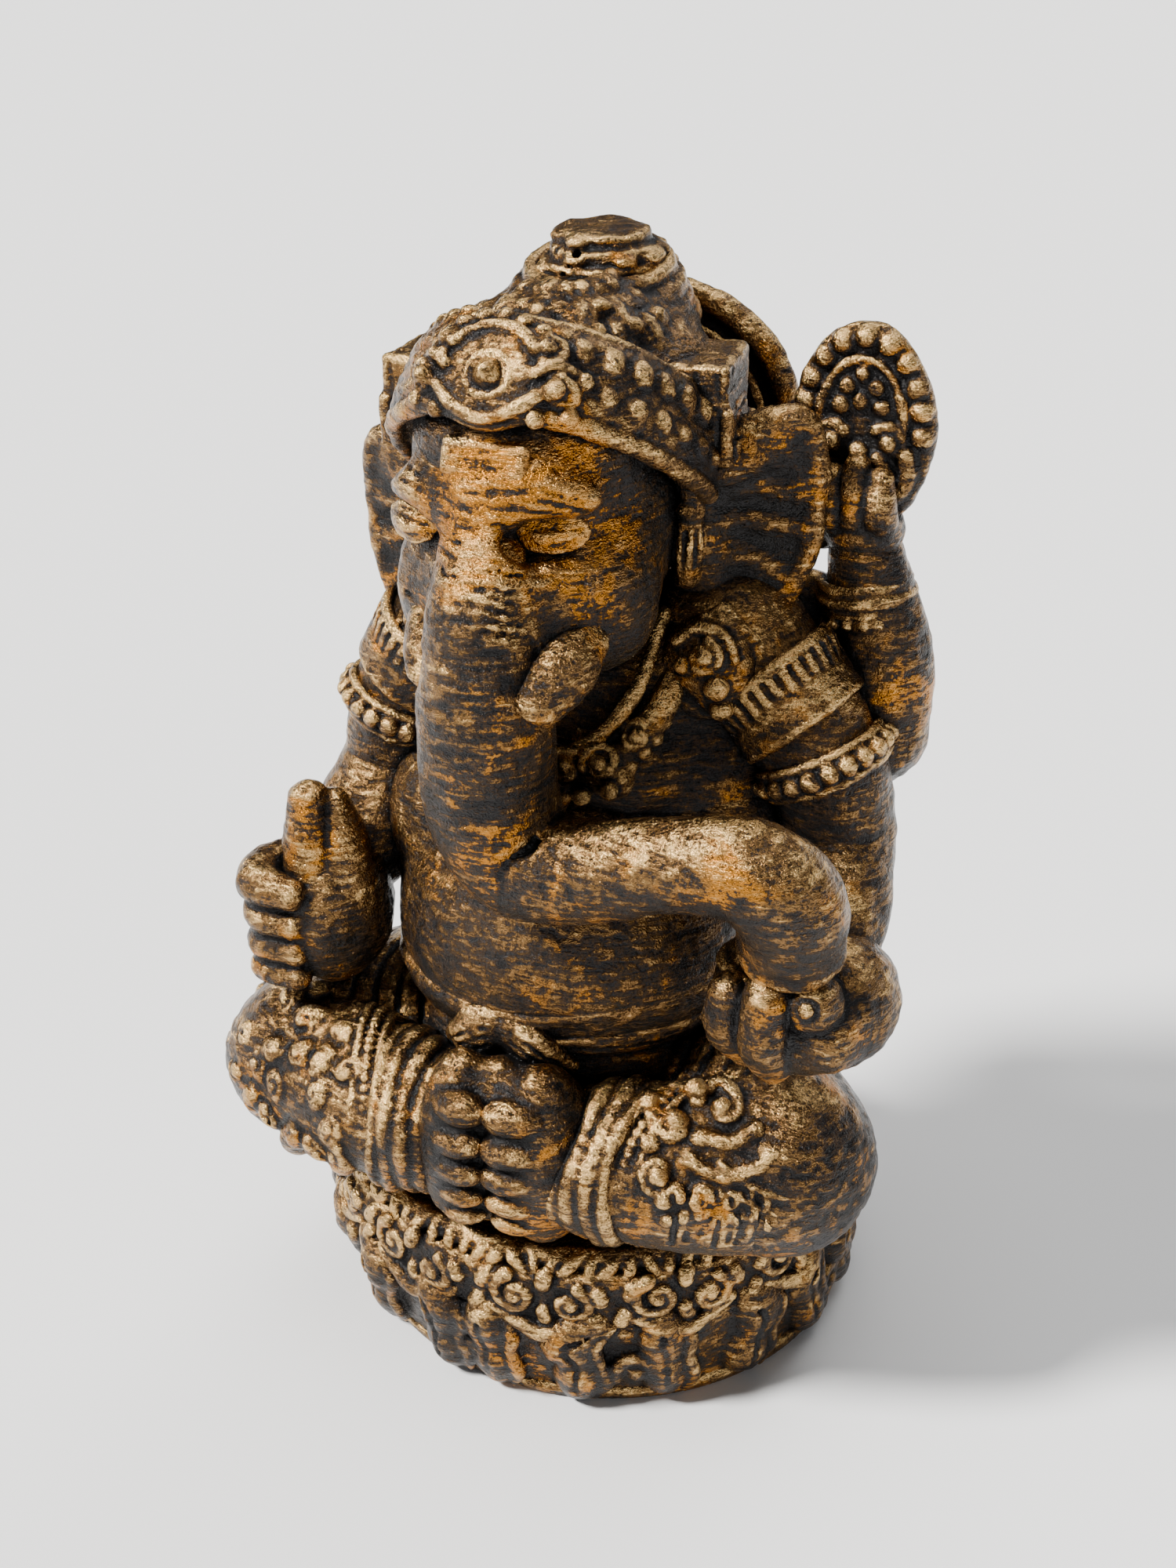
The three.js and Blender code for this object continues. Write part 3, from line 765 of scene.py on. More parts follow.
def build_rear_forearm(side):
    elbow, wrist = REAR[side]
    clay = Clay(np.minimum(elbow, wrist) - 28, np.maximum(elbow, wrist) + 28)
    line = [elbow, (elbow + wrist) / 2 + vec(side * 5, 0, 0), wrist + vec(0, 0, 8)]
    clay.tube(line, [23, 21.5, 16], spacing=6)
    return clay


def build_rear_armband(side):
    elbow, wrist = REAR[side]
    axis = unit(wrist - elbow)
    clay = Clay(wrist - 30, wrist + 30, FINE)
    for shift, size, reach in ((-13, 2.2, 18.5), (-8, 3.0, 19), (-3, 2.2, 18)):
        clay.hoop(ring_round(wrist + axis * shift, axis, reach), size, blend=1)
    clay.beads(ring_round(wrist + axis * -17, axis, 19, 18), 3.0, blend=0.8)
    return clay


def build_left_rear_hand():
    clay = Clay((86, 8, 364), (136, 54, 420), FINE)
    clay.ball((111, 34, 385), (17, 15, 14))
    for k, (x, top) in enumerate(((99, 408), (109, 414), (119, 409))):
        clay.tube([(x + 1, 30, 386), (x, 23, 397), (x, 26, top)], [7, 7.2, 5.6], blend=1.5)
    clay.tube([(94, 34, 380), (90, 30, 390), (90, 32, 399)], [7, 6.5, 5], blend=2)
    return clay


def build_rear_disc():
    """An oval plaque: a beaded upper rim over a flower, and curling leaves below, behind the fist."""
    centre, half = vec(107, 43, 425), vec(29, 9, 43)
    clay = Clay(centre - half - 3, centre + half + 3, FINE)
    clay.ball(centre, (27, 9, 41))
    around = np.linspace(0, 2 * math.pi, 61)[:-1]
    ring = centre + np.column_stack([24.5 * np.cos(around), np.full(60, -1.0), 38.5 * np.sin(around)])
    clay.hoop(ring, 5.2, blend=2)
    upper = resample(ring[:31], 9.6)
    clay.beads(upper + vec(0, -3.0, 0), 5.2, blend=1.2)
    for share, size in ((0.72, 2.2), (0.48, 1.8)):
        inner = centre + (ring[:31] - centre) * vec(share, 1, share) + vec(0, -5.5, 2)
        clay.tube(inner, size, smooth=False, blend=1)
    patch = Patch(clay, centre, (0, -1, 0), lift=18)
    patch.dots([(0, 13), (-6, 19), (6, 19), (-8, 11), (8, 11), (0, 24)], 3.6, depth=0.5)
    patch.scroll((12, -3), 7, hand=-1, start=140, radius=3.0, turns=1.1)
    patch.scroll((-12, -4), 7, hand=1, start=40, radius=3.0, turns=1.1)
    for side in (LEFT, RIGHT):
        patch.ridge([(side * 19, -8), (side * 20, -18), (side * 13, -29)], 4.0)
    patch.ridge([(8, -10), (12, -20), (6, -32)], 3.6)
    patch.dots([(0, -8), (-8, -20), (0, -34)], 4.4)
    back = Patch(clay, centre, (0, 1, 0), lift=18)
    for side in (LEFT, RIGHT):
        back.scroll((side * 8, 8), 8, hand=side, radius=2.0)
        back.scroll((side * 7, -14), 7, hand=-side, radius=2.0)
    return clay


def build_right_rear_hand():
    low, high = node_box("right_rear_hand")
    centre = (low + high) / 2
    clay = Clay(centre - 22, centre + 22, FINE)
    clay.ball(centre, (14, 14, 15))
    for k in range(4):
        knuckle = centre + vec(-6 + 5 * k, -11, 8 - 3 * k)
        clay.tube([knuckle + vec(0, 6, -6), knuckle, knuckle + vec(1, 8, 6)], [5, 5.4, 4.4], blend=1.5)
    return clay


def build_rear_bud():
    """A closed lotus bud on a short stalk."""
    foot = vec(-70, 62, 382)
    clay = Clay(foot - 16, foot + vec(18, 18, 46), FINE)
    clay.tube([foot, foot + vec(1, 1, 14)], [6, 7])
    clay.ball(foot + vec(1, 1, 24), (11, 11, 16), blend=3)
    for lean in spokes(7):
        petal = [foot + vec(1, 1, rise) + lean * out for rise, out in ((12, 9), (25, 11.2), (38, 2))]
        clay.tube(petal, [2, 3, 1.2], blend=1.2)
    return clay


# ---------- Head ----------
TRUNK = [
    (-4, -60, 428), (-4, -76, 406), (-3, -90, 380), (-2, -97, 345), (-3, -95, 305),
    (8, -93, 277), (40, -98, 279), (74, -99, 290), (104, -97, 293), (120, -91, 280), (121, -86, 264),
    (120, -82, 256),
]
TRUNK_SIZE = [13, 17, 23.5, 27, 27.5, 25, 21, 19, 20.5, 22.5, 21.5, 21]


def build_head():
    clay = Clay((-66, -126, 322), (54, 44, 472))
    clay.ball((-6, -20, 398), (54, 58, 56), turn=(0, -8, 0))
    clay.ball((-5, -41, 434), (47, 42, 32), blend=12)
    clay.ball((26, -52, 378), (25, 29, 32), blend=12)
    clay.ball((-36, -47, 372), (24, 28, 31), blend=12)
    clay.ball((-2, -50, 346), (26, 27, 16), blend=8)
    clay.tube(TRUNK[:4], [16, 20, 24, 26], spacing=6, blend=28)
    for side, socket in ((LEFT, vec(18, -84, 411)), (RIGHT, vec(-40, -80, 405))):
        clay.ball(socket, (16, 9, 9.5), turn=(0, 0, side * 25), cut=True, blend=7)
        out = 16 if side == LEFT else 9
        brow = socket + np.array([(-side * 15, 3, 14), (-side * 1, 4, 18), (side * out, 11, 14)])
        clay.tube(brow, [3, 5, 2.5], blend=14)
    carve_face_lines(clay)
    carve_wrinkles(clay)
    return clay


def carve_face_lines(clay):
    """Folds across the brow and round the eyes."""
    patch = Patch(clay, (-5, -80, 420), (0, -1, 0.15), lift=34)
    for rise, reach in ((8, 26), (2, 29), (-4, 16), (-10, 24), (-16, 14), (-21, 25)):
        across = reach * vec(-1, -0.3, 0.4, 1)
        patch.groove(np.column_stack([across, rise + vec(2, -1, 1, -1)]), 0.9)
    for side, x in ((LEFT, 24), (RIGHT, -38)):
        for k in range(4):
            bag = [(x - side * 14, -28 - 4 * k), (x, -31 - 4 * k), (x + side * 15, -25 - 5 * k)]
            patch.groove(bag, 0.9)
        for k in range(2):
            patch.groove([(x - side * 12, 8 - 4 * k), (x, 11 - 4 * k), (x + side * 14, 6 - 4 * k)], 0.9)


def build_eye(side):
    centre = vec(18, -73.5, 411) if side == LEFT else vec(-41, -68.5, 405.5)
    clay = Clay(centre - 22, centre + 22, FINE)
    clay.ball(centre, (13.5, 9, 8.0), turn=(0, 0, side * 25))
    patch = Patch(clay, centre, (side * 0.4, -0.9, 0.1), lift=14)
    patch.ridge(arc((13.0, 7.0), 5, 175), 1.7, depth=0.6)
    patch.ridge(arc((12.6, 6.6), 190, 350), 1.2, depth=0.6)
    patch.groove(arc((9.8, 4.0), 195, 345), 0.8)
    patch.groove(arc((10.5, 3.6), 10, 170), 0.9)
    return clay


def carve_wrinkles(clay):
    """Shallow broken rings across the front of the trunk, closer together towards the face."""
    line = spline(np.column_stack([TRUNK, TRUNK_SIZE]), 241)
    draw = np.random.default_rng(5)
    first, bend, last = 8, 130, 228         # points of the line: brow, turn of the trunk, near its tip
    k = first
    while k < last:
        centre, size = line[k, :3], line[k, 3]
        axis = unit(line[k + 4, :3] - line[k - 4, :3])
        front = vec(0.25, -0.9, 0.35)
        front = unit(front - axis * (front @ axis))
        side = np.cross(axis, front)
        middle_angle, half = draw.uniform(-50, 50), draw.uniform(18, 50)
        angle = np.radians(np.linspace(middle_angle - half, middle_angle + half, 9))
        run = centre + (size + 0.45) * swing(angle, front, side)
        run = run + axis * draw.normal(0, 0.7, 9)[:, None]
        deep = draw.uniform(0.45, 0.8) if k < bend else draw.uniform(0.35, 0.6)
        deep *= np.interp(k, (first, 60), (0.55, 1.0))
        clay.tube(run, deep * vec(0.3, 0.8, 1, 1, 1, 1, 1, 0.8, 0.3), spacing=4, cut=True, blend=1.4)
        k += int(draw.integers(2, 5)) if k < bend else int(draw.integers(6, 12))


def build_trunk():
    clay = Clay((-36, -132, 214), (152, -34, 446))
    clay.tube(TRUNK, [9, 13, 22, 27, 27.5] + TRUNK_SIZE[5:], spacing=6)
    carve_wrinkles(clay)
    end = vec(*TRUNK[-1])
    axis = end - vec(*TRUNK[-2])
    clay.tube(ring_round(end - vec(0, 0, 3), axis, 19.5), 2.2, closed=True, blend=4)
    return clay


TUSK = {
    LEFT: ([(33, -79, 369), (29, -93, 363), (24, -105, 355)], [9.2, 12.8, 10.4]),
    RIGHT: ([(-38, -72, 366), (-33, -84, 359), (-29, -93, 353)], [8, 9.5, 8]),
}


def build_tusk(side):
    line, sizes = TUSK[side]
    line = np.array(line, float)
    clay = Clay(line.min(0) - 16, line.max(0) + 16, FINE)
    clay.tube(line, sizes, spacing=3)
    clay.ball(line[-1] + vec(-5, -6, -9), (8, 8, 5), turn=(30, 20, 0), cut=True, blend=4)
    return clay


def build_forehead_mark():
    centre = vec(-5, -82.4, 440.0)
    clay = Clay(centre - vec(26, 12, 16), centre + vec(26, 12, 16), FINE)
    clay.block(centre, (18, 3.0, 7.4), turn=(-20, 0, -2), rounding=2.8)
    patch = Patch(clay, centre, (0, -1, 0.35), lift=12)
    patch.groove([(-13, 1.2), (-2, 1.8), (2, 0.6), (13, 1.2)], 0.7)
    return clay


EAR_OUTLINE = [
    (0, 28), (18, 34), (40, 44), (50, 38), (53, 12),
    (48, -18), (34, -40), (18, -48), (5, -40), (-2, -10),
]


def build_ear(side):
    root = vec(side * 50 - 4, -4, 378 + side * 14)
    lean = math.radians(20)
    outward = vec(side * math.cos(lean), math.sin(lean), 0)
    front = vec(side * math.sin(lean), -math.cos(lean), 0)
    yaw = side * 20

    def place(u, v, forward=0.0):
        return root + outward * u + front * forward + vec(0, 0, v)

    low, high = node_box(f"{SIDE_NAME[side]}_ear")
    clay = Clay(low - 6, high + 6, FINE)
    clay.ball(place(26, 2), (29, 6.5, 42), turn=(0, 0, yaw))
    clay.ball(place(34, 25), (22, 6, 20), turn=(0, 0, yaw), blend=6)
    clay.ball(place(18, -26), (18, 6, 22), turn=(0, 0, yaw), blend=6)
    rim = [place(u, v, 1.5) for u, v in EAR_OUTLINE]
    clay.tube(rim, [5, 5.5, 6, 5, 4, 4, 4.5, 5, 4.5, 4], closed=True, blend=5)
    clay.ball(place(30, 6, 13), (20, 10, 30), turn=(0, side * -8, yaw), cut=True, blend=8)
    clay.tube([place(1, 28, 5), place(16, 25, 5), place(38, 35, 2)], [7, 7, 4], blend=9)
    fold = [place(1, 20, 3), place(7, 0, 5), place(8, -20, 5), place(13, -40, 2)]
    clay.tube(fold, [6, 8, 7.5, 4.5], blend=9)
    for rise, reach, drop in ((14, 46, 16), (4, 47, -2), (-8, 42, -22)):
        rib = [place(10, rise, 4), place(26, (rise + drop) / 2 + 2, 2), place(reach, drop, 2)]
        clay.tube(rib, [4, 3, 2], blend=6)
    return clay


# ---------- Crown ----------
BAND_CENTRE = vec(-4, -6, 426)
BAND_HALF = (60, 78)
BAND_TILT = math.radians(37)


def band_point(angle, rise, out=0.0):
    """A point of the tilted headband: angle from the front in degrees, + to the figure's left."""
    a = np.radians(angle)
    lean = -0.18 * rise
    across = (BAND_HALF[0] + out + lean) * np.sin(a)
    back = -(BAND_HALF[1] + out + lean) * np.cos(a)
    y = back * math.cos(BAND_TILT) + rise * math.sin(BAND_TILT)
    z = -back * math.sin(BAND_TILT) + rise * math.cos(BAND_TILT)
    return BAND_CENTRE + np.stack(np.broadcast_arrays(across, y, z), axis=-1)


def build_diadem():
    clay = Clay((-80, -98, 372), (74, 22, 500), FINE)
    sweep = np.arange(-104, 93, 4.0)
    for rise in (-12, -6, 0, 6, 12):
        clay.tube(band_point(sweep, rise, -2.0), 6.5, smooth=False, blend=5)
    clay.tube(band_point(sweep, -18, 0.5), 4.0, smooth=False, blend=1.2)
    clay.tube(band_point(sweep, -12.5, 2.5), 1.8, smooth=False, blend=1)
    clay.tube(band_point(sweep, 17.5, 0), 3.0, smooth=False, blend=1.2)
    clay.tube(band_point(np.arange(22, 88, 4.0), 0.3, 3.6), 1.5, smooth=False, blend=1)
    for rise, width, tall in ((-6.2, 5.2, 5.0), (8.0, 5.6, 6.8)):
        for place in resample(band_point(np.arange(27, 86, 2.0), rise, 2.6), 12.2):
            clay.ball(place, (width, width, tall), turn=(-37, 0, 0), blend=0.9)
    for rise in (-7, -1, 5, 11):
        angle = np.arange(-100, -26, 5.0)
        ridge = band_point(angle, rise + 2 * np.sin(np.radians(angle * 3)), 3.0)
        clay.tube(ridge, 2.6, smooth=False, blend=1)
    clay.beads(resample(band_point(np.arange(-98, -20, 2.0), 20, -1), 10), 4.4, blend=1)
    add_band_front(clay)
    return clay


def add_band_front(clay):
    """The scrolled, eye-shaped setting round the boss in the middle of the headband."""
    centre = band_point(0.0, -8.0)
    clay.ball(centre + vec(0, 3, 2), (27, 9, 22), turn=(-37, 0, 0), blend=4)
    patch = Patch(clay, centre, (0, -0.8, 0.6), up=(0, 0.6, 0.8), lift=24)
    lower = [(-27, 2), (-21, -4), (-12, -12), (0, -15.5), (12, -12), (21, -4), (27, 2)]
    patch.ridge(lower, 2.6)
    for side in (LEFT, RIGHT):
        patch.scroll((side * 27, -2), 5, hand=-side, start=90 + side * 30, radius=2.8)
        patch.scroll((side * 20, 13), 5.5, hand=side, start=-90, radius=2.8)
        patch.ridge([(side * 18, 3), (side * 24, 7), (side * 29, 7)], 2.6)
        patch.dots([(side * 33, 5), (side * 31, -9), (side * 20, -13)], 3.6, depth=0.8)
    patch.ridge(arc((20, 20), 35, 145), 2.4)
    patch.dots([(-16, 20), (-8, 23), (0, 24), (8, 23), (16, 20)], 3.6, depth=0.8)


def build_medallion():
    centre = band_point(0.0, -7.5, 3.0) + vec(0, 1, -1)
    clay = Clay(centre - 24, centre + 24, FINE)
    out = vec(0, -0.8, 0.6)
    clay.ball(centre, (13.0, 5.5, 13.0), turn=(-37, 0, 0))
    for reach, size, proud in ((12.2, 2.3, 2.0), (8.4, 2.2, 4.2)):
        clay.tube(ring_round(centre + out * proud, out, reach), size, closed=True, blend=0.7)
    clay.ball(centre + out * 4, 6.4, blend=0.8)
    clay.ball(centre + out * 9.0, 3.2, blend=1.0)
    return clay


def build_crown_cap():
    clay = Clay((-72, -76, 376), (64, 68, 502))
    clay.tube([(-5, -14, 433), (-5, 8, 436), (-3, 28, 443)], [48, 44, 35], spacing=6)
    clay.ball((-4, 8, 446), (60, 46, 33), blend=8)
    clay.ball((-3, 23, 458), (43, 39, 28), blend=8)
    for row, (rise, count, size) in enumerate(((0.9, 7, 9.5), (1.5, 6, 9.0), (2.8, 5, 8.0))):
        for k in range(count):
            angle = math.radians(-80 + 160 * (k + 0.5 * (row % 2)) / (count - 1))
            out = vec(math.sin(angle), -math.cos(angle), rise)
            patch = Patch(clay, (-5, 0, 440), out, lift=60)
            leaf = patch.lay([(0, -7), (0.6, 0), (0, 8)], 5.2)
            clay.tube(leaf, [size * 0.7, size, size * 0.5], blend=3)
            patch.groove([(-3, -7), (-4, 1), (0, 8), (4, 1), (3, -7)], 1.0, depth=0)
            patch.scroll((9, 2), 4.5, hand=1 if k % 2 else -1, radius=2.4, turns=1.0)
    for rise, reach in ((464, 38), (471, 35), (478, 32), (485, 28)):
        clay.tube(ring_round((-3, 29, rise), (0, -0.12, 1), reach, 40), 3.4, closed=True, blend=3.5)
    return clay


def build_topknot():
    clay = Clay((-44, -8, 456), (40, 76, 500), FINE)
    draw = np.random.default_rng(8)
    tiers = (
        (463, 36, 5), (470, 33.5, 4.5), (477, 30.5, 4.2),
        (484, 27, 4.2), (490.5, 23, 3.6), (496.4, 18.5, 3.2),
    )
    for height, reach, half in tiers:
        centre = vec(-2 + draw.uniform(-0.8, 0.8), 33 + draw.uniform(-0.8, 0.8), height)
        clay.disc(centre, reach, half, 2.2, blend=2.4)
        for k in range(7):
            angle = draw.uniform(0, 2 * math.pi)
            lump = centre + vec(reach * 0.95 * math.cos(angle), reach * 0.95 * math.sin(angle), 0)
            clay.ball(lump, (5, 5, half * 0.8), blend=2)
    for k in range(30):
        angle, height = draw.uniform(0, 2 * math.pi), draw.uniform(466, 494)
        reach = np.interp(height, (465, 497), (36, 19))
        pit = vec(-2 + reach * math.cos(angle), 33 + reach * math.sin(angle), height)
        clay.ball(pit, draw.uniform(1.0, 1.9), cut=True, blend=1.5)
    return clay


def build_crown_wing(side):
    """The stepped square corner above the ear."""
    low, high = node_box(f"{SIDE_NAME[side]}_crown_wing")
    centre, half = (low + high) / 2 + vec(-side * 3, 0, 0), (high - low) / 2 + vec(3, 0, 0)
    clay = Clay(low - 12, high + 12, FINE)
    turn = (0, 0, side * 6)
    clay.block(centre, half, turn=turn, rounding=3)
    for shift, share in (((1.5, -5, -9), (1.05, 0.8, 0.6)), ((2.0, 2, -14), (1.12, 0.9, 0.32))):
        step = centre + vec(side, 1, 1) * shift
        clay.block(step, half * share, turn=turn, rounding=2.5, blend=2)
    patch = Patch(clay, centre, (side * 0.5, -1, 0.1), lift=44)
    for k in range(4):
        patch.groove([(-12 + 8 * k, -16), (-11 + 8 * k, 0), (-12 + 8 * k, 15)], 1.1)
    outer = Patch(clay, centre, (side, 0, 0), lift=24)
    for k in range(3):
        outer.groove([(-16, 10 - 10 * k), (16, 10 - 10 * k)], 1.0)
    return clay


def build_tassel(side):
    """A hanging cord with a knot and a fringed end, in front of the ear."""
    x = side * 58 - 5
    clay = Clay((x - 18, -36, 362), (x + 18, 6, 446), FINE)
    clay.tube([(x, -14, 432), (x + side, -17, 414), (x, -17, 400)], [5.5, 5, 4.6])
    clay.ball((x, -14, 432), (8, 7, 6.5), blend=2)
    clay.ball((x + side, -17, 417), (7.5, 7, 4.5), blend=1)
    clay.ball((x, -17, 404), (6.5, 6.5, 4.5), blend=1)
    clay.tube([(x, -17, 400), (x - side, -16, 390), (x - side * 2, -14, 374)], [5, 7.5, 6], blend=1.5)
    for lean in spokes(8):
        slit = [vec(x, -17, 396) + lean * 6, vec(x - side * 2, -14, 372) + lean * 7.5]
        clay.tube(slit, 1.1, cut=True, blend=0.8)
    return clay


def build_halo():
    centre = vec(10, 72, 408)
    clay = Clay(centre - vec(68, 14, 68), centre + vec(68, 14, 68), FINE)
    clay.ball(centre, (59, 7, 59))
    clay.hoop(ring_round(centre, (0, 1, 0.001), 57, 64), 6.2, blend=2)
    for face in (-1, 1):
        level = centre + vec(0, face * 6.0, 0)
        clay.hoop(ring_round(level, (0, 1, 0.001), 47, 64), 2.0, blend=1)
        patch = Patch(clay, centre, (0, face, 0), lift=20)
        for k in range(12):
            angle = k * math.pi / 6
            turn = np.array([[math.cos(angle), math.sin(angle)], [-math.sin(angle), math.cos(angle)]])
            leaf = np.array([(22, -7), (33, -8), (41, -1), (33, 6), (24, 4)]) @ turn
            patch.ridge(leaf, 2.3)
            patch.dots(np.array([(31, -1), (18, 0)]) @ turn, 3.2)
        patch.ridge(arc(12, 0, 360, 24), 2.2)
        patch.dots([(0, 0)], 6)
    return clay


# ---------- Base ----------
BASE_HALF = vec(127, 121)
DRUM_RADIUS = 122                           # a mean radius, to turn lengths into angles
TAPER_TOP = 46                              # below this height the drum draws in


def draw_in(height, angle):
    """How far the drum draws in towards its foot, most on the figure's right; angle in radians."""
    return np.clip((TAPER_TOP - height) / TAPER_TOP, 0, 1)**1.4 * (8.5 - 5.5 * np.sin(angle))


def wall(angle, height, out=0.0):
    """A point on the side of the drum: angle in degrees from the front, + to the figure's left."""
    a = np.radians(angle)
    height = np.asarray(height, float)
    x = (BASE_HALF[0] + out - draw_in(height, a)) * np.sin(a)
    y = -(BASE_HALF[1] + out - draw_in(height, a)) * np.cos(a)
    return np.stack(np.broadcast_arrays(x, y, height), axis=-1)


def drum(clay, heights, outs):
    """Fills an oval drum whose side follows outs at the given heights."""
    def distance(x, y, z):
        side = np.interp(z, heights, outs) - draw_in(z, np.arctan2(x, -y))
        rho = np.sqrt((x / (BASE_HALF[0] + side))**2 + (y / (BASE_HALF[1] + side))**2)
        body = (rho - 1) * DRUM_RADIUS
        return np.maximum(np.maximum(body, heights[0] - z), z - heights[-1]).astype(np.float32)

    clay.press((-140, -134, heights[0]), (140, 134, heights[-1]), distance)


def build_plinth():
    clay = Clay((-132, -128, 0), (132, 128, 92), COARSE * STEP)
    drum(clay, (0, 3, 7, 10, 40, 76, 84, 88), (-1.5, -0.5, -1.0, -8, -8, -8, -6, -9))
    clay.keep((0, 0, 0), (0, 0, -1))
    return clay


def build_bead_ring():
    """An uneven border of small leaf tips along the top edge of the drum."""
    clay = Clay((-128, -124, 74), (128, 122, 90), FINE)
    sweep = np.arange(0, 360, 3.0)
    clay.hoop(wall(sweep, 82.0, -10.5), 5.0)
    draw = np.random.default_rng(21)
    for angle in np.arange(0, 360, 4.1):
        lean, size = draw.uniform(-2.6, 2.6), draw.uniform(2.8, 4.4)
        tall = vec(78, 82, 86) + draw.uniform(-1, 0.5)
        leaf = wall(angle + vec(-lean, 0, lean), tall, vec(-4.5, -6.0, -10.5))
        clay.tube(leaf, [size * 0.7, size, size * 0.6], blend=1.2)
    return clay


def wall_scroll(clay, angle, height, size, hand, start=0, radius=2.6, turns=1.35, out=0.0):
    drawing = spiral(size, turns, hand, start)
    points = wall(angle + np.degrees(drawing[:, 0] / DRUM_RADIUS), height + drawing[:, 1], out)
    clay.tube(points, np.linspace(radius, radius * 0.75, len(points)), spacing=3.0, blend=0.8)
    clay.ball(wall(angle, height, out), radius * 1.25, blend=0.6)


FRIEZE_LEAVES = ((0, 71, 1.0), (12.5, 64, -2.2), (15.5, 52, 2.4), (17.5, 66, 1.8), (1, 52, -1.5))


def build_scroll_frieze():
    """A belt of large scrolls with leaf tips between them."""
    clay = Clay((-132, -128, 44), (132, 128, 82), FINE)
    sweep = np.arange(0, 360, 4.0)
    for height in (54, 61, 68, 74):
        clay.hoop(wall(sweep, float(height), -6.5), 4.6, blend=5)
    draw = np.random.default_rng(14)
    count = 12
    for k in range(count):
        angle = k * 360 / count + 9 + draw.uniform(-2, 2)
        size = draw.uniform(9.5, 12)
        how = {"turns": 1.2, "out": -1.2}
        wall_scroll(clay, angle - 5.8, 65 + draw.uniform(-1, 2), size, 1, 110, radius=3.4, **how)
        wall_scroll(clay, angle + 5.8, 62 + draw.uniform(-2, 2), size * 0.9, -1, 70, radius=3.2, **how)
        fringe = wall(angle + vec(-11, -5, 0, 5, 11), 54.0 + vec(2, -4, -8, -4, 2), -1.6)
        clay.tube(fringe, [2.6, 4.2, 5.2, 4.2, 2.6], blend=1.5)
        for shift, low, lean in FRIEZE_LEAVES:
            sway = angle + shift + vec(0, lean * 0.4, lean)
            leaf = wall(sway, low + vec(0, 5, 10), vec(-2.2, -1.4, -3.0))
            clay.tube(leaf, [2.4, 4.6, 2.0], blend=1.2)
    return clay


def build_petal_skirt():
    """Broad flame-like leaves that hang and curl from the scrolls down to the foot of the drum."""
    clay = Clay((-134, -132, 1), (134, 132, 58), COARSE * FINE)
    sweep = np.arange(0, 360, 4.0)
    for height in (9, 17, 25, 33, 41, 46):
        clay.hoop(wall(sweep, float(height), -8.5), 5.8, blend=5)
    draw = np.random.default_rng(11)
    count = 20
    for k in range(count):
        angle = k * 360 / count + draw.uniform(-3.0, 3.0)
        bend = draw.uniform(-6.0, 6.0)
        turn = draw.uniform(-4.0, 4.0)
        sway = angle + vec(0, bend, bend * 0.5 + turn * 0.3, turn, turn * 1.3)
        leaf = wall(sway, vec(52, 42, 30, 17, draw.uniform(6, 9)), vec(-5, -7.5, -7.5, -8.0, -5))
        clay.tube(leaf, vec(8, 14, 11.5, 14, 7) * draw.uniform(0.92, 1.06), blend=1.2)
        beside = sway + vec(4, 5.8, 5.0, 5.6, 3.6)
        edge = wall(beside, vec(50, 40, 28, 15, 4), vec(-2, -0.4, 0, -0.2, -1))
        clay.tube(edge, [2.2, 3.6, 3.0, 3.8, 2.0], blend=1.4)
        vein = wall(sway[:4] - vec(0.6, 0.8, 0.2, 0.8), vec(48, 41, 30, 13), vec(2.0, 6.4, 4.0, 5.8))
        clay.tube(vein, [0.8, 1.8, 1.5, 0.8], cut=True, blend=1.5)
        if k % 3 == 1:
            hand = 1 if bend > 0 else -1
            wall_scroll(clay, angle + 9, 22, 10, hand, 200, radius=4.4, turns=1.0, out=-2.0)
    clay.keep((0, 0, 1.2), (0, 0, -1), blend=1)
    return clay


# ---------- Which builder makes which node ----------
def builders():
    one_of_each = {
        "base_plinth": build_plinth, "base_bead_ring": build_bead_ring,
        "base_scroll_frieze": build_scroll_frieze, "base_petal_skirt": build_petal_skirt,
        "belly": build_belly, "chest": build_chest, "hips": build_hips,
        "waistband": build_waistband, "sash_knot": build_sash_knot, "necklace": build_necklace,
        "head": build_head, "trunk": build_trunk, "forehead_mark": build_forehead_mark,
        "diadem": build_diadem, "diadem_medallion": build_medallion,
        "crown_cap": build_crown_cap, "crown_topknot": build_topknot, "halo_disc": build_halo,
        "left_hand": build_left_hand, "sweet_bowl": build_bowl,
        "right_hand": build_right_hand, "right_thumb": build_right_thumb,
        "left_rear_hand": build_left_rear_hand, "rear_disc": build_rear_disc,
        "right_rear_hand": build_right_rear_hand, "rear_bud": build_rear_bud,
    }
    on_each_side = {
        "leg": build_leg, "shin": build_shin, "leg_cuff": build_cuff, "foot": build_foot,
        "upper_arm": build_upper_arm, "armlet": build_armlet, "bead_armband": build_bead_armband,
        "shoulder_drape": build_shoulder_drape, "forearm": build_forearm,
        "rear_upper_arm": build_rear_upper_arm, "rear_forearm": build_rear_forearm,
        "rear_armband": build_rear_armband, "eye": build_eye, "tusk": build_tusk, "ear": build_ear,
        "crown_wing": build_crown_wing, "ear_tassel": build_tassel,
    }
    jobs = dict(one_of_each)
    for part, build in on_each_side.items():
        for side in (LEFT, RIGHT):
            jobs[f"{SIDE_NAME[side]}_{part}"] = lambda build=build, side=side: build(side)
    return jobs


